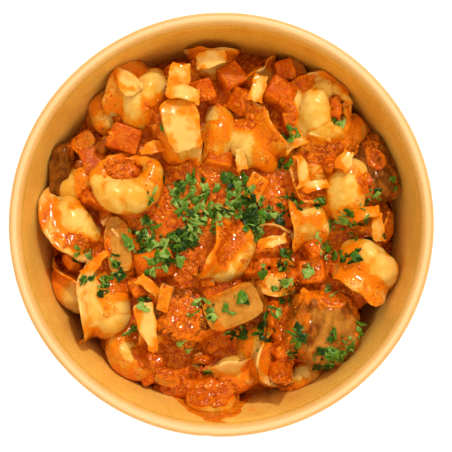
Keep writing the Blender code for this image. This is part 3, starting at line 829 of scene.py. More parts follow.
for name, (x, y, top, length, width, height, turn, tip) in carrots.items():
    work = cutCube("carrot" + name, length, width, height, cubes["edge"])
    settle(work, x, y, top, turn, tip, tip)
    addFood(makeObject("carrot" + name, work, finishes["carrot"]), "carrot", "carrot_" + name)
for name, (x, y, top, length, width, height, turn, tip) in onions.items():
    work = cutCube("onion" + name, length, width, height, cubes["onionEdge"])
    settle(work, x, y, top, turn, tip, 0)
    addFood(makeObject("onion" + name, work, finishes["onion"]), "onion", "onion_" + name)
print("carrot and onion made:", len(carrots) + len(onions))


# mushrooms: x, y, height of the top, length, width, height, turn, tip, roll, cut
mushrooms = {
    "01": (-60, 17, 44, 28, 8.5, 11, 84, 4, -18, "stick"),
    "02": (-37.5, -8.5, 46, 24, 10.5, 9, 100, 6, 12, "slice"),
    "03": (5.5, -30, 52, 23, 14.5, 12, 22, 6, -10, "wedge"),
    "04": (-14, -34, 49, 24, 22, 14, -20, 8, 6, "dark"),
    "05": (37.5, -38, 50, 30, 29, 17, 80, -6, 8, "cap"),
    "06": (56.5, 20.5, 48, 28, 17, 15, -70, -8, -14, "dark"),
    "07": (-51.5, 30.5, 39, 10, 8, 7, 40, 10, 0, "slice"),
    "08": (27.5, 57.5, 39, 15, 8, 9, -60, 8, 10, "slice"),
    "09": (-18.5, -58, 39, 16, 7, 7, -8, 4, 10, "slice"),
}
# cut: lower and upper knife flat (of 1), boxiness (1 is round), depth of folds, depth of wrinkles, how pale
mushroomCuts = {
    "slice": (0.55, 0.62, 0.72, 0.03, 0.35, 1.0),
    "wedge": (0.50, 0.70, 0.52, 0.03, 0.22, 1.0),
    "stick": (0.80, 0.85, 0.52, 0.02, 0.20, -0.4),
    "cap": (0.80, 0.90, 0.84, 0.06, 0.34, 0.75),
    "dark": (0.80, 0.90, 0.84, 0.06, 0.38, -0.35),
}


def makeMushroomPiece(name, x, y, top, length, width, height, turn, tip, roll, cut):
    chance = random.Random("mushroom" + name)
    low, high, boxy, fold, wrinkle, pale = mushroomCuts[cut]
    sliced = cut in ("slice", "wedge")
    work = bmesh.new()
    cutFace = work.verts.layers.float.new("cutFace")
    creaseShadeAndDarkSkin = work.verts.layers.float.new("fold")
    bmesh.ops.create_icosphere(work, subdivisions=6 if length > 20 else 5, radius=1)
    lobes, phase = chance.choice((3, 4, 5)), chance.uniform(0, math.tau)
    shift = Vector((chance.uniform(0, 50), chance.uniform(0, 50), 0))
    for vert in work.verts:
        across = math.atan2(vert.co.y, vert.co.x)
        x0, y0, z0 = vert.co * (1 + fold * math.sin(lobes * across + phase))
        x0, y0, z0 = (math.copysign(abs(c) ** boxy, c) for c in (x0, y0, z0))
        flat = ramp(high - 0.06, high + 0.02, z0)
        z0 = max(-low, min(high, z0)) / ((low + high) / 2)
        spot = Vector((x0 * length, y0 * width, z0 * height)) / 2
        skin = 1 - flat * (0.85 if sliced else 0.3)
        # creases run along the piece, so their noise is stretched that way
        crease = abs(noise.noise(Vector((spot.x / 13, spot.y / 3.4, spot.z / 6)) + shift))
        finer = abs(noise.noise(Vector((spot.x / 6, spot.y / 1.7, spot.z / 3)) - shift))
        sunk = (1 - ramp(0.0, 0.22, crease)) * skin
        spot -= vert.co.normalized() * wrinkle * (1.4 * sunk + 0.15 * (1 - ramp(0, 0.25, finer)) * skin)
        spot += noise.noise_vector(spot / 5 + shift) * wrinkle * 1.1
        spot += noise.noise_vector(spot / 1.3 + shift) * 0.10
        patchy = max(0, pale) * ramp(-0.5, 0.3, noise.noise(spot / 6 - shift))
        vert[cutFace] = flat if sliced else patchy
        # painted shade where the creases sink in, plus the own darker skin of sticks and dark pieces
        vert[creaseShadeAndDarkSkin] = 0.4 * sunk + max(0, -pale)
        vert.co = spot * mm
    faceOut(work)
    settle(work, x, y, top, turn, tip, roll)
    addFood(makeObject("mushroom" + name, work, finishes["mushroom"]), "mushroom", "mushroom_" + name)


for name, numbers in mushrooms.items():
    makeMushroomPiece(name, *numbers)
print("mushrooms made:", len(mushrooms))


# the heap's surface, as heights over a square of cells
sheet = {"reach": 70.0, "cell": 0.45}
axis = np.arange(-sheet["reach"], sheet["reach"] + sheet["cell"], sheet["cell"])
gridX, gridY = np.meshgrid(axis, axis, indexing="ij")


def softened(field, width):
    # a gaussian blur of the heights, width in mm
    reach = int(3 * width / sheet["cell"]) + 1
    weights = np.exp(-0.5 * (np.arange(-reach, reach + 1) * sheet["cell"] / width) ** 2)
    weights /= weights.sum()
    for side in (0, 1):
        pad = [(reach, reach) if side == s else (0, 0) for s in (0, 1)]
        wide = np.pad(field, pad, mode="edge")
        size = field.shape[side]
        slices = [wide.take(range(i, i + size), axis=side) for i in range(2 * reach + 1)]
        field = sum(weight * part for weight, part in zip(weights, slices))
    return field


def sampled(field, x, y):
    # the field's value at points in mm, blended between its cells
    i = np.clip((np.asarray(x) + sheet["reach"]) / sheet["cell"], 0, len(axis) - 1.001)
    j = np.clip((np.asarray(y) + sheet["reach"]) / sheet["cell"], 0, len(axis) - 1.001)
    i0, j0 = i.astype(int), j.astype(int)
    a, b = i - i0, j - j0
    low = field[i0, j0] * (1 - b) + field[i0, j0 + 1] * b
    high = field[i0 + 1, j0] * (1 - b) + field[i0 + 1, j0 + 1] * b
    return low * (1 - a) + high * a


def patch(x, y, acrossX, acrossY, turn, soft=0.35):
    # 1 inside an uneven oval, falling to 0 at its edge
    a = math.radians(turn)
    u = ((gridX - x) * math.cos(a) + (gridY - y) * math.sin(a)) / acrossX
    v = ((gridY - y) * math.cos(a) - (gridX - x) * math.sin(a)) / acrossY
    return 1 - rampArray(1 - soft, 1 + soft, np.hypot(u, v) + unevenEdge)


def treeOf(piece):
    work = bmesh.new()
    work.from_mesh(piece.data)
    tree = BVHTree.FromBMesh(work)
    work.free()
    spots = points(piece.data)
    return tree, spots.min(0), spots.max(0)


def topOf(pieces, start):
    # the highest point of the pieces over each cell
    top = start.copy()
    down = Vector((0, 0, -1))
    for tree, low, high in map(treeOf, pieces):
        rows = np.nonzero((axis * mm > low[0]) & (axis * mm < high[0]))[0]
        columns = np.nonzero((axis * mm > low[1]) & (axis * mm < high[1]))[0]
        for i in rows:
            for j in columns:
                if high[2] / mm > top[i, j]:
                    hit = tree.ray_cast(Vector((axis[i] * mm, axis[j] * mm, 0.09)), down)[0]
                    if hit and hit.z / mm > top[i, j]:
                        top[i, j] = hit.z / mm
    return top


def fieldOf(rule):
    return np.array([[rule(Vector((x, y, 0.0))) for y in axis] for x in axis])


slowNoise = fieldOf(lambda spot: roughness(spot, 9.0, 2))
midNoise = fieldOf(lambda spot: roughness(spot + Vector((70, 10, 3)), 3.2, 3))
unevenEdge = 0.28 * slowNoise + 0.34 * midNoise
coarseGrain = fieldOf(lambda spot: lumps(spot + noise.noise_vector(spot / 3) * 0.8, 2.7))
fineGrain = fieldOf(lambda spot: lumps(spot + Vector((20, 40, 5)), 1.35))
print("surface fields made:", gridX.shape)

sauce = {
    "middle": 41.0, "edge": 31.0, "wide": 5.0, "below": 4.4, "wall": 5.0,
    "coarse": 0.7, "fine": 0.28, "swell": 0.9, "rough": 0.35, "sink": 0.6, "least": 2.0,
    "slopeTo": 67.0, "wallFrom": 57.0, "wallTo": 68.0, "gapSoft": 0.6, "drape": 0.8,
    # furrow is how strongly painted shade darkens the pits, furrowOver how much darker the sauce over pieces
    # is
    "cells": 300, "pitShadeAndSmearTone": 0.6, "furrowOver": 0.16, "thinOver": 0.08,
}
# where the sauce lies over pieces: x, y, half length, half width, turn, thickness
smears = [
    (-37, 22.5, 8, 3.4, 8, 0.7), (-24, 38, 3.4, 10, -12, 0.8), (-8.7, 7, 12, 13, 0, 0.4),
    (0.5, 47, 5, 3.5, 0, 0.8), (22.5, 36, 4.6, 9, -14, 0.9), (37.5, 26, 9.5, 4, 10, 0.7),
    (25, 12, 14, 6, -6, 0.9), (53, 14.5, 3.6, 6, 20, 0.7), (2, -6, 8, 9, 0, 0.5),
    (-50.5, -8, 8.5, 4, -20, 0.6), (-43.5, -9.5, 3.6, 6, 5, 0.9), (-37.5, -21.5, 8, 3.8, -10, 0.8),
    (-14, -35, 7.5, 9, 0, 0.4), (-21, -51, 14, 6.5, -18, 0.9), (-5, -62.5, 13, 6, 4, 0.8),
    (-4, -42, 6, 5, 0, 0.9), (22, -46.5, 3.2, 4, 0, 0.7), (40.5, -27, 5.5, 3.4, -10, 0.5),
    (61, -8.5, 2.6, 2.2, 0, 0.8), (35, -14, 8, 9, 0, 0.6), (10.5, 44.5, 4, 7, 10, 0.7),
    (30, 53, 6, 4.5, -30, 0.6), (-5.5, 18.5, 12, 6, 0, 0.7), (-27, -3, 8, 6, 0, 0.5),
    (57, 24, 4, 6.5, 30, 0.35), (9, 37, 5, 2.5, 20, 0.5), (-16, 60, 8, 3, 10, 0.6),
]
# dark gaps between pieces or, with a depth below 0, places filled with sauce:
# x, y, half length, half width, turn, depth
gaps = [
    (-12, -62.5, 17, 6, 4, -9), (-36.5, 19.5, 7, 3.6, 0, -6), (-56.5, -13.5, 4, 4, 0, -9),
    (40.1, 21.7, 3, 3.4, 0, -8), (16.7, -15.4, 4, 4, 0, -6), (22, -55.5, 4.5, 4.2, 0, -13),
    (24.5, -58.5, 4.4, 3.6, 0, -6.5), (18, -37.5, 2.6, 3.2, 0, -6), (12.7, -18.3, 3, 3, 0, -8),
    (26.4, -18.8, 2.5, 3, 0, -8), (19.1, -32.5, 3, 4.5, 0, -8), (-7.3, -50.7, 3, 2.4, 0, -7),
    (42.3, 43.8, 4.2, 6, 0, -13), (-48.5, 9.5, 4.5, 3.4, 0, -7), (21.5, -45.5, 3, 6, 0, -4),
    (23.5, -51, 4.5, 6, 0, -6), (-62, 14, 2, 14, -4, 7), (-44, 38, 3, 14, 38, 7),
    (-37, 52, 3, 5, 20, 6), (-51.5, 26.5, 3, 3, 0, 5), (50, 38, 3.5, 9, 25, 7),
    (61.5, 2, 3.4, 8, 0, 11), (13, -21.5, 8, 3.6, 40, 4), (-50, -40, 6.5, 4, -45, 12),
    (-37, -51, 6, 3, -40, 10), (55, -31, 9, 5, 52, 15), (33, -58.5, 10, 3.6, 22, 12),
    (-55, 8, 2.2, 2.2, 0, 4), (-49, 5, 2.2, 3.6, 20, 4), (-20, -22, 2.5, 2.5, 0, 3),
    (28, -6, 2, 4, 0, 4),
]


def sauceHeights():
    # the food's top, the sauce's own surface, and where the sauce lies over pieces
    ground = np.full(gridX.shape, bowl["floor"])
    top = topOf(food, ground)
    far = np.hypot(gridX, gridY)
    level = sauce["middle"] + (sauce["edge"] - sauce["middle"]) * (far / sauce["slopeTo"]) ** 2
    heap = softened(np.maximum(top, level), sauce["wide"]) - sauce["below"]
    fill = np.maximum(level, heap) + sauce["swell"] * slowNoise
    fill -= sauce["wall"] * rampArray(sauce["wallFrom"], sauce["wallTo"], far)
    for x, y, acrossX, acrossY, turn, depth in gaps:
        fill -= depth * patch(x, y, acrossX, acrossY, turn, sauce["gapSoft"])
    drape = softened(np.maximum(top, fill), sauce["drape"])
    over = np.zeros(gridX.shape)
    thick = np.zeros(gridX.shape)
    for x, y, acrossX, acrossY, turn, depth in smears:
        one = patch(x, y, acrossX, acrossY, turn)
        thick = np.maximum(thick, one * depth)
        over = np.maximum(over, one)
    fill = np.maximum(fill, fill + (drape + thick - fill) * over)
    grain = sauce["coarse"] * coarseGrain + sauce["fine"] * fineGrain + sauce["rough"] * midNoise
    fill = fill + grain - sauce["sink"]
    return top, np.maximum(fill, bowl["floor"] + sauce["least"]), over


topField, sauceField, overField = sauceHeights()


def makeSauceBody():
    work = bmesh.new()
    bmesh.ops.create_grid(work, x_segments=sauce["cells"], y_segments=sauce["cells"], size=1)
    pitShadeAndSmearTone = work.verts.layers.float.new("pitShadeAndSmearTone")
    thin = work.verts.layers.float.new("thin")
    reach = innerRadius(40.0) - 0.4
    # the square of cells is drawn out into a disc
    flat = np.array([vert.co.xy for vert in work.verts])
    x = flat[:, 0] * np.sqrt(1 - flat[:, 1] ** 2 / 2) * reach
    y = flat[:, 1] * np.sqrt(1 - flat[:, 0] ** 2 / 2) * reach
    z = sampled(sauceField, x, y)
    sunk = sampled(softened(sauceField, 1.0) - sauceField, x, y)
    laid = sampled(np.clip(overField * (topField - sauceField + 2.5), 0, 1), x, y)
    limit = innerRadius(z) - 0.12
    pull = np.minimum(1, limit / np.maximum(np.hypot(x, y), 1e-6))
    for vert, px, py, pz, low, over in zip(work.verts, x * pull, y * pull, z, sunk, laid):
        vert.co = (px * mm, py * mm, pz * mm)
        # painted shade where the sauce lies below its blurred surface, and a darker tone where it lies over
        # pieces
        vert[pitShadeAndSmearTone] = sauce["pitShadeAndSmearTone"] * ramp(0.3, 1.5, low) + sauce["furrowOver"] * over
        vert[thin] = sauce["thinOver"] * over
    # its sides go down along the wall to the base, and a face closes it there
    skirt = bmesh.ops.extrude_edge_only(work, edges=[e for e in work.edges if e.is_boundary])["geom"]
    low = bowl["floor"] + 0.3
    for item in skirt:
        if isinstance(item, bmesh.types.BMVert):
            item.co.xy = item.co.xy.normalized() * (innerRadius(low) - 0.2) * mm
            item.co.z = low * mm
    bmesh.ops.contextual_create(work, geom=[e for e in work.edges if e.is_boundary])
    faceOut(work)
    standIn(makeObject("sauceBody", work, finishes["sauce"]), "sauce", "sauce")


makeSauceBody()
print("sauce made")


# places that the film leaves bare: x, y, half length, half width, turn
barePlaces = [
    (-38, 10.5, 9.5, 5.6, -8), (-44.5, 14.5, 2.6, 3.6, 20), (-13.6, 32, 5.2, 7.6, -6),
    (-13.4, 47, 5, 2.4, -12), (-4, 40.5, 2.2, 3.2, 0), (-15.3, 55.5, 3.6, 2.4, 0),
    (-25.5, 52, 5, 4.6, 30), (-32.5, 43.5, 3.8, 5, 0), (-33.2, 53, 2.6, 4, 35),
    (-40, 38.5, 2.4, 3.2, 0), (7, 28.5, 5, 7.2, 8), (36.5, 42.5, 7.2, 8.4, 0), (29, 42, 1.8, 9, 6),
    (35, 52, 4, 1.8, 0), (43.8, 13, 4.4, 5.8, 0), (45.5, 23, 3, 2.8, 0), (29.8, 20, 1.6, 4.2, 0),
    (33.8, 15, 3.8, 1.7, 10), (13.3, 49.5, 2.3, 4.4, -10), (16.5, 56, 3, 2, 0), (-4, 60, 4.8, 2.8, 0),
    (56, -12.5, 6.8, 4.8, -38), (62, -19.5, 2.4, 4, 0), (20.2, -51.2, 1.5, 4.4, -18),
    (20.5, -57, 4.6, 2, 10), (13, -46, 1.6, 7, 0), (19, -38.5, 1.4, 3.2, -20),
    (3.6, -51.2, 5.2, 4.2, 0), (16.2, -15.2, 2.2, 4, -20), (19.4, -21.4, 3, 2.2, 0),
    (18.4, -2.2, 4.8, 2.2, 0), (19.8, -7, 3.4, 1.5, 8), (32.2, -3, 2.6, 4.4, 0), (32, 6, 3.2, 2.6, 0),
    (5.2, -12.6, 1.5, 4.2, -30), (-1, -19.4, 4.4, 2.2, 0), (-54, 2, 6.4, 3.4, 10),
    (-49.2, 0.5, 5, 3.4, 0), (-63.4, -4, 1.8, 5.6, 0), (-54.5, -27.5, 4.4, 6.6, 12),
    (-57.5, -15.6, 2.8, 2.4, 0), (-46.6, -27.5, 2, 10.5, 8), (-38.5, -36.5, 6.5, 2.6, 20),
    (-34.5, -29.5, 3.2, 2.4, 20), (-26.5, -36, 2.6, 7.6, 10), (-31.5, -47.8, 6.4, 2.2, -28),
    (-4, -65, 4.6, 3.2, 0), (27.8, -55.2, 3.8, 2.2, 10), (5.5, -30, 10, 5.6, 20), (40.5, -41, 9, 10, 0),
    (-37, -8.5, 3.6, 9, 8), (-59.5, 16.5, 4, 13, 4), (56.5, 17.5, 5, 8, 20),
]
# how wet the film is on each kind of food, and what adds to that
coat = {
    "pasta": 0.62, "carrot": 0.36, "mushroom": 0.36, "onion": 0.34,
    "slow": 0.62, "fast": 0.42, "near": 1.0, "nearTo": 2.2, "bare": 1.05, "bareSoft": 0.4, "groove": 0.55,
}


def bareField():
    field = np.zeros(gridX.shape)
    for x, y, acrossX, acrossY, turn in barePlaces:
        field = np.maximum(field, patch(x, y, acrossX, acrossY, turn, coat["bareSoft"]))
    return field


bare = bareField()


def paintCoat(piece, slot, share=1.0):
    spots = points(piece.data) / mm
    slow = np.array([roughness(Vector(spot), 7.5, 2) for spot in spots])
    fast = np.array([roughness(Vector(spot), 2.6, 3) for spot in spots])
    above = spots[:, 2] - sampled(sauceField, spots[:, 0], spots[:, 1])
    value = coat[slot] + coat["slow"] * slow + coat["fast"] * fast
    value += coat["near"] * (1 - rampArray(-0.2, coat["nearTo"], above))
    value -= share * coat["bare"] * sampled(bare, spots[:, 0], spots[:, 1])
    if "groove" in piece.data.attributes:
        deep = np.empty(len(spots))
        piece.data.attributes["groove"].data.foreach_get("value", deep)
        value += coat["groove"] * (deep - 0.3)
    paint(piece.data, "coat", value)


for piece in food:
    paintCoat(piece, piece["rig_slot"])
print("sauce film painted on", len(food), "pieces")


# loose ends of dough: x, y, height of the top, turn, tip, roll, length, width, bend, point
flaps = [
    (-34.5, 52, 52.5, 130, 4, 4, 12, 7.5, 35, 0.8), (-14, 47.5, 54.5, -14, 14, 0, 13, 6, 40, 0.1),
    (-14.2, 35.8, 54, -77, 4, 3, 20, 13.5, 42, 0.16), (-15, 53.5, 53, 80, -12, 0, 9, 8, 30, 0.1),
    (-26, 28, 47, 200, -12, 0, 9, 5, 35, 0.8), (44.5, 23.5, 52, 62, 12, 0, 8, 6, 40, 0.5),
    (29.8, 19.5, 48.8, 98, -25, 0, 13, 4.4, 55, 0.2), (34.5, 14.4, 47.8, 15, 20, 0, 11, 4, 60, 0.3),
    (37, 33.5, 48.2, -28, 15, 0, 8.5, 4.6, 40, 0.4), (13.3, 50, 49.5, 78, 8, 20, 11.5, 5.4, 25, 0.15),
    (-3.5, 60.5, 48.5, 12, 10, 0, 12, 6.5, 35, 0.3), (27.5, 30, 47, 20, 20, 0, 10, 3.6, 50, 0.4),
    (52.5, 4.5, 48, 10, 20, 0, 12, 4.6, 60, 0.3), (57, -1, 47, 95, 20, 0, 11, 4.6, 50, 0.3),
    (-26, -22.5, 46.5, -40, 15, 0, 12, 4, 60, 0.3), (-26.4, -37.5, 51.5, -76, 6, 8, 20, 7, 30, 0.65),
    (18.5, -6, 48, 12, 20, 0, 12, 4.2, 55, 0.3), (-46, -14, 47.5, 50, 20, 0, 13, 4, 40, 0.4),
    (7, 24, 46.5, 100, 10, 0, 8, 4, 40, 0.5),
]
flap = {"raised": 0.5, "thick": 0.8, "crumple": 0.5, "edge": 0.8, "share": 0.85}


def makeFlaps():
    work = bmesh.new()
    edge = work.verts.layers.float.new("edge")
    for count, (x, y, top, turn, tip, roll, length, width, bend, point) in enumerate(flaps):
        one = bmesh.new()
        one.verts.layers.float.new("edge")
        bmesh.ops.create_grid(one, x_segments=22, y_segments=12, size=1)
        shift = Vector((count * 7.3, 1.5, 2.5))
        for vert in one.verts:
            u, v = vert.co.x, vert.co.y
            narrow = (1 - point * ramp(-0.2, 1.0, u)) * math.sqrt(1 - 0.6 * abs(u) ** 10)
            across = v * width / 2 * narrow + 0.35 * noise.noise(Vector((u * 2.5, v, count)))
            u *= 1 - 0.16 * v * v + 0.10 * noise.noise(Vector((u, v * 3, count + 0.5)))
            # bent round an arc, with its long sides a little up
            a = math.radians(bend * 0.6) * u
            arc = length / 2 / math.radians(bend * 0.6)
            spot = Vector((arc * math.sin(a), across, arc * (math.cos(a) - 1)))
            spot.z += 0.05 * v * v * width
            spot += noise.noise_vector(spot / 3.5 + shift) * flap["crumple"]
            vert.co = spot * mm
        one.normal_update()
        bmesh.ops.solidify(one, geom=one.faces[:], thickness=flap["thick"] * mm)
        settle(one, x, y, top + flap["raised"], turn, tip, roll)
        addTo(work, one)
    for vert in work.verts:
        vert[edge] = flap["edge"]
    piece = makeObject("pastaFlaps", work, finishes["pasta"])
    keepInBowl(piece.data)
    standIn(piece, "pasta")
    softEdge = piece.modifiers.new("Soft", "SUBSURF")
    softEdge.levels = softEdge.render_levels = 1
    food.append(piece)
    paintCoat(piece, "pasta", flap["share"])


makeFlaps()
print("loose ends made:", len(flaps))


# bits of onion: x, y, length, width, height, turn, above the surface
onionBits = [
    (-5, -21.6, 5.6, 3, 2.4, 8, 0.9), (-3.6, -45.9, 4.6, 4, 2.6, 40, 0.7),
    (9.8, -57.2, 4.8, 3.6, 2.4, -30, 0.7), (53, -1.3, 4.6, 4, 2.6, 60, 0.8),
    (-39.2, -3.1, 4.4, 1.1, 0.9, -52, 0.7), (-8, 41, 3.4, 3, 2, 10, 0.5),
    (31, -25, 4.4, 2.4, 1.8, -40, 0.6), (-42.5, 1.5, 5, 2.6, 2, 30, 0.5),
]
# bits of mushroom: the same numbers
mushroomBits = [
    (-53, 21.6, 5.2, 3.2, 2.6, 80, 1.2), (-14.2, -26, 4.4, 3.4, 2.2, 20, 0.9),
    (-43.5, 29.5, 6.4, 5, 3.6, 50, 1.6), (3.5, 2.5, 4.6, 3, 2.4, -20, 0.9),
    (-21, 18.5, 5.4, 3.4, 2.6, 65, 0.9), (11, -38, 6, 3.4, 2.6, -25, 1),
    (46.5, -24.5, 7, 4.6, 3.6, 30, 1.4), (-9, -49, 4.6, 2.6, 2.2, 15, 0.9),
]


def makeBits(name, rows, finish):
    surface = np.maximum(topField, sauceField)
    work = bmesh.new()
    for count, (x, y, length, width, height, turn, above) in enumerate(rows):
        one = cutCube(name + str(count), length, width, height, 0.34 * min(width, height), 2)
        top = float(sampled(surface, x, y)) + above
        settle(one, x, y, top, turn, 6 * (count % 3 - 1), 5 * (count % 4 - 1))
        addTo(work, one)
    piece = makeObject(name, work, finishes[finish])
    keepInBowl(piece.data)
    standIn(piece)
    food.append(piece)
    paintCoat(piece, finish)


# soft grains of tomato lying in the sauce and in the film over the pieces. shy is how much fewer of them
# lie on bare places and on pieces, and detail is 1 for 20 faces each and 2 for 80.
grains = {
    "tomatoPulp": {
        "seed": 5, "count": 1500, "radius": (0.25, 0.95), "detail": 2, "flat": 0.62, "reach": 64.0,
        "shy": (3.0, 0.75), "tone": 0.0,
    },
    "sauceBeads": {
        "seed": 9, "count": 7500, "radius": (0.16, 0.40), "detail": 1, "flat": 0.7, "reach": 66.0,
        "shy": (6.0, 0.45), "tone": 1.0,
    },
}
grainRules = {"steepest": 1.6, "mostlySmall": 2.2, "raised": 0.12, "uneven": 0.16, "batch": 60}


def makeGrains(name, seed, count, radius, detail, flat, reach, shy, tone):
    chance = random.Random(seed)
    surface = np.maximum(topField, sauceField)
    work, batch = bmesh.new(), bmesh.new()
    placed = 0
    while placed < count:
        far, way = reach * math.sqrt(chance.random()), chance.uniform(0, math.tau)
        x, y = far * math.cos(way), far * math.sin(way)
        steep = abs(float(sampled(surface, x + 0.5, y) - sampled(surface, x - 0.5, y)))
        steep += abs(float(sampled(surface, x, y + 0.5) - sampled(surface, x, y - 0.5)))
        wet = 1 - shy[0] * float(sampled(bare, x, y))
        wet -= shy[1] * float(sampled(topField - sauceField, x, y) > 0.4)
        if steep > grainRules["steepest"] or chance.random() > wet:
            continue
        size = radius[0] + (radius[1] - radius[0]) * chance.random() ** grainRules["mostlySmall"]
        turn = Matrix.Rotation(chance.uniform(0, math.tau), 4, "Z")
        shape = Matrix.Diagonal((chance.uniform(0.8, 1.8), chance.uniform(0.7, 1.1), flat, 1))
        spot = Vector((x, y, float(sampled(surface, x, y)) + grainRules["raised"] * size)) * mm
        bmesh.ops.create_icosphere(
            batch, subdivisions=detail, radius=size * mm, matrix=Matrix.Translation(spot) @ turn @ shape
        )
        placed += 1
        if placed % grainRules["batch"] == 0 or placed == count:
            addTo(work, batch)
            batch = bmesh.new()
    thin = work.verts.layers.float.new("thin")
    for vert in work.verts:
        vert.co += noise.noise_vector(vert.co / mm / 0.9) * grainRules["uneven"] * mm
        vert[thin] = max(tone, 0.9 * ramp(-0.1, 0.5, noise.noise(vert.co / mm / 3.0)))
    piece = makeObject(name, work, finishes["sauce"])
    keepInBowl(piece.data)
    standIn(piece)


# the thin sauce that climbs the inside of the wall, way round and up, highest at its middle
wallFilm = {
    "from": -112.0, "to": -76.0, "low": 28.0, "high": 57.6, "peak": 56.0, "middle": -90.0,
    "fallBefore": 0.085, "fallAfter": 0.25, "uneven": 5.0, "thick": 0.6, "hidden": 0.3, "sheet": 0.12,
}


def makeWallFilm():
    work = bmesh.new()
    bmesh.ops.create_grid(work, x_segments=130, y_segments=80, size=1)
    thin = work.verts.layers.float.new("thin")
    for vert in work.verts:
        turn = wallFilm["from"] + (wallFilm["to"] - wallFilm["from"]) * (vert.co.x + 1) / 2
        z = wallFilm["low"] + (wallFilm["high"] - wallFilm["low"]) * (vert.co.y + 1) / 2
        way = Vector((math.cos(math.radians(turn)), math.sin(math.radians(turn)), 0))
        rough = roughness(way * 70 + Vector((0, 0, z)), 9.0, 3)
        away = turn - wallFilm["middle"]
        fall = wallFilm["fallBefore"] if away < 0 else wallFilm["fallAfter"]
        top = wallFilm["peak"] - fall * away ** 2 + wallFilm["uneven"] * rough
        mask = 1 - ramp(-5.0, 2.0, z - top)
        lap = lapAt(turn) * (turn < bowl["seamTo"])
        thick = wallFilm["thick"] * (0.6 + 0.4 * noise.noise(way * 35 + Vector((0, 0, z / 2))))
        depth = lap - wallFilm["hidden"] + (wallFilm["hidden"] + thick) * mask
        vert.co = (way * (innerRadius(z) - depth) + Vector((0, 0, z))) * mm
        vert[thin] = 1 - 0.8 * mask * ramp(-0.3, 0.3, rough) if mask > 0.02 else -1
    bmesh.ops.delete(work, geom=[vert for vert in work.verts if vert[thin] < 0], context="VERTS")
    work.normal_update()
    bmesh.ops.solidify(work, geom=work.faces[:], thickness=wallFilm["sheet"] * mm)
    faceOut(work)
    standIn(makeObject("sauceOnWall", work, finishes["sauce"]))


makeBits("onionBits", onionBits, "onion")
makeBits("mushroomBits", mushroomBits, "mushroom")
for name, numbers in grains.items():
    makeGrains(name, **numbers)
makeWallFilm()
print("small bits made")


# chopped parsley
parsley = {
    "seed": 11, "amount": 1.8, "spread": 1.35, "reach": 65.0,
    "flake": (1.0, 5.4), "mostlySmall": 1.7, "shreds": 0.4, "corners": 14, "thick": 0.15,
    "lift": 0.25, "heap": 1.3, "loose": 0.2, "heapFrom": 12, "steepest": 1.1, "tilt": 0.42,
    "toneUneven": 0.34,
}
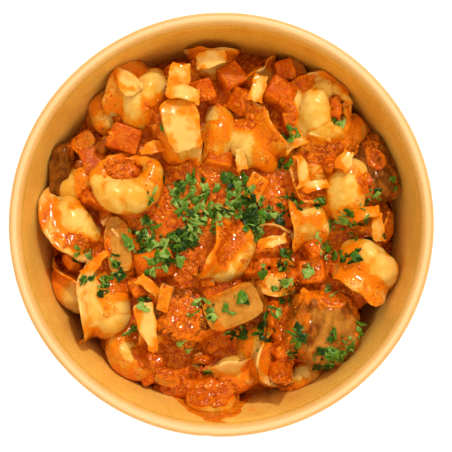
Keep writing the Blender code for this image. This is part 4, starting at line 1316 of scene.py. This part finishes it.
# x, y, half length, half width, turn, count, tone from dark to pale; the tone holds the leaves' own colour
# and also paints the shade and light that fall on each cluster
clusters = [
    (-10.2, 9, 5, 7.4, 12, 44, 0.5), (5, 14.5, 5.4, 2.8, 0, 20, 0.6), (6, 8.5, 5.2, 3.2, 10, 22, 0.65),
    (10.8, 5.2, 4.2, 5.6, 0, 26, 0.15), (18.5, 4, 4, 4.2, 0, 16, 0.4), (26, 8.5, 3.6, 4.4, 20, 8, 0.35),
    (12.5, -1, 2.6, 4, 0, 10, 0.5), (-29.5, -4, 4.2, 5.4, -20, 30, 0.4),
    (-21, -10, 5.4, 5.2, -20, 30, 0.5), (-14.5, -6.2, 4.2, 3.2, 0, 22, 0.1),
    (-10.2, -2.2, 3, 3.2, 0, 16, 0.8), (-1, 4, 4.2, 2.2, 0, 12, 0.7), (-1.6, -0.8, 2.2, 2, 0, 6, 0.8),
    (-17.5, 11, 3, 7.4, 30, 12, 0.5), (-41.8, -21.2, 3.6, 2.2, 25, 8, 0.4),
    (-38.2, -15.2, 1.6, 3.6, 20, 6, 0.2), (-26, -16.5, 1.8, 3.2, -5, 4, 0.15),
    (-51.3, -11, 3.4, 2.4, 25, 8, 0.3), (-49.5, -19.6, 1.8, 1.6, 0, 4, 0.3),
    (-29, -28, 1.8, 1.3, 0, 4, 0.4), (-25, 9, 1.8, 2.6, 30, 4, 0.4), (25.8, 33, 2.2, 1.8, 0, 5, 0.4),
    (43, 37.2, 1.8, 1.4, -20, 4, 0.4), (22.2, 22.5, 2.2, 2.4, -40, 4, 0.3),
    (36, 8.5, 1.8, 3, -30, 5, 0.3), (54, 9.5, 2.8, 3.4, -40, 7, 0.5), (64, 15.5, 2.2, 1.4, -35, 3, 0.4),
    (42, -1.2, 1.6, 2.4, 0, 4, 0.6), (46.5, 1, 2.6, 2.8, 30, 6, 0.6), (52.5, 1.2, 2.2, 1.3, 0, 4, 0.5),
    (48.5, -5.2, 1.8, 1.8, 0, 3, 0.4), (38.5, -8.5, 3, 4.4, 20, 9, 0.7),
    (45.5, -11.8, 3.6, 2.2, 30, 6, 0.25), (58, -5.4, 2.4, 1.3, 0, 3, 0.3),
    (32.2, -16.5, 2, 2, 0, 5, 0.6), (40.2, -25, 2, 2.6, 0, 4, 0.8), (23.8, -13.5, 2.4, 3, 0, 8, 0.2),
    (15.5, -17, 2, 2, 0, 4, 0.4), (23, -24.5, 3, 3.4, 30, 12, 0.5), (15.5, -41, 2.8, 5.2, -10, 6, 0.2),
    (17.2, -31.5, 3.2, 2.8, 0, 4, 0.3), (-4.2, -30.8, 7.4, 3, 5, 12, 0.65),
    (6.8, -25.6, 2, 1.6, 0, 4, 0.6), (-13.5, -44, 1.6, 2, 0, 3, 0.6), (5.2, -40.2, 4, 2.4, 10, 10, 0.1),
    (-5.4, -53.5, 1.5, 2.2, 0, 3, 0.4), (-34, -39.5, 1.6, 1.2, 0, 3, 0.6),
    (27.5, -40.5, 2.2, 3, 0, 6, 0.15), (42.5, -45.5, 4.2, 6.4, -10, 22, 0.35),
    (36.5, -50, 2.4, 4.4, 0, 7, 0.4), (26.4, -48, 1.6, 2.4, 0, 4, 0.4),
    (50.2, -39.5, 1.2, 2.8, 0, 3, 0.7), (47.5, -45, 2.4, 2.2, 0, 4, 0.3),
    (-22, 36.5, 0.8, 0.8, 0, 1, 0.7),
]


def makeLeaf(chance, tone):
    # one chopped bit: a lobed, curled scrap of leaf, or a thin shred
    one = bmesh.new()
    layer = one.verts.layers.float.new("tone")
    shred = chance.random() < parsley["shreds"]
    small, large = parsley["flake"]
    length = small + (large - small) * chance.random() ** parsley["mostlySmall"]
    length *= 1.4 if shred else 1
    width = length * (chance.uniform(0.14, 0.26) if shred else chance.uniform(0.5, 0.95))
    bmesh.ops.create_circle(one, cap_ends=True, cap_tris=True, segments=parsley["corners"], radius=1)
    bend, fold, twist = chance.uniform(-0.5, 1.0), chance.uniform(-0.1, 0.6), chance.uniform(-0.7, 0.7)
    shade = min(1.0, max(0.0, chance.gauss(tone, parsley["toneUneven"])))
    lobes, phase = chance.choice((2, 3, 4)), chance.uniform(0, 6.3)
    for vert in one.verts:
        angle, far = math.atan2(vert.co.y, vert.co.x), vert.co.length
        lobe = (0.06 if shred else 0.17) * math.cos(lobes * angle + phase)
        edge = far * (1 + lobe + chance.uniform(-0.22, 0.08))
        u, v = edge * math.cos(angle), edge * math.sin(angle)
        spot = Vector((u * length / 2, v * width / 2, 0))
        spot.z = bend * u * u * length * 0.2 + twist * u * v * width * 0.4 + fold * abs(v) * width * 0.5
        spot.z += chance.uniform(-0.05, 0.05) * length / 2
        vert.co = spot * mm
        # each leaf is painted paler at its edge and darker in its middle, as a painted highlight and shade
        vert[layer] = min(1.0, max(0.0, shade + 0.2 * far - 0.1 + chance.uniform(-0.1, 0.1)))
    one.normal_update()
    bmesh.ops.solidify(one, geom=one.faces[:], thickness=parsley["thick"] * mm)
    return one


def makeParsleyPiece():
    chance = random.Random(parsley["seed"])
    surface = np.maximum(topOf(food[len(food) - 3:], topField), sauceField)
    slope = softened(surface, 0.7)
    work = bmesh.new()
    work.verts.layers.float.new("tone")
    total = 0
    for x, y, acrossX, acrossY, turn, count, tone in clusters:
        a = math.radians(turn)
        for _ in range(round(count * parsley["amount"])):
            far, way = parsley["spread"] * chance.random() ** 0.7, chance.uniform(0, math.tau)
            u, v = acrossX * far * math.cos(way), acrossY * far * math.sin(way)
            px, py = x + u * math.cos(a) - v * math.sin(a), y + u * math.sin(a) + v * math.cos(a)
            inside = min(1.0, parsley["reach"] / math.hypot(px, py))
            px, py = px * inside, py * inside
            high = float(sampled(surface, px, py))
            tiltX = float(sampled(slope, px + 0.8, py) - sampled(slope, px - 0.8, py)) / 1.6
            tiltY = float(sampled(slope, px, py + 0.8) - sampled(slope, px, py - 0.8)) / 1.6
            steep = max(1.0, math.hypot(tiltX, tiltY) / parsley["steepest"])
            normal = Vector((-tiltX / steep, -tiltY / steep, 1)).normalized()
            tilt = Vector((chance.uniform(-1, 1), chance.uniform(-1, 1), 0)) * parsley["tilt"]
            normal = (normal + tilt).normalized()
            one = makeLeaf(chance, tone)
            spin = Matrix.Rotation(chance.uniform(0, 6.3), 3, "Z")
            spin = normal.to_track_quat("Z", "Y").to_matrix() @ spin
            pile = parsley["heap"] if count > parsley["heapFrom"] else parsley["loose"]
            raised = parsley["lift"] + pile * chance.random()
            bmesh.ops.transform(one, matrix=spin.to_4x4(), verts=one.verts)
            bmesh.ops.translate(one, vec=Vector((px, py, high + raised)) * mm, verts=one.verts)
            addTo(work, one)
            total += 1
    faceOut(work)
    standIn(makeObject("parsley", work, finishes["parsley"]))
    print("parsley made:", total)


makeParsleyPiece()
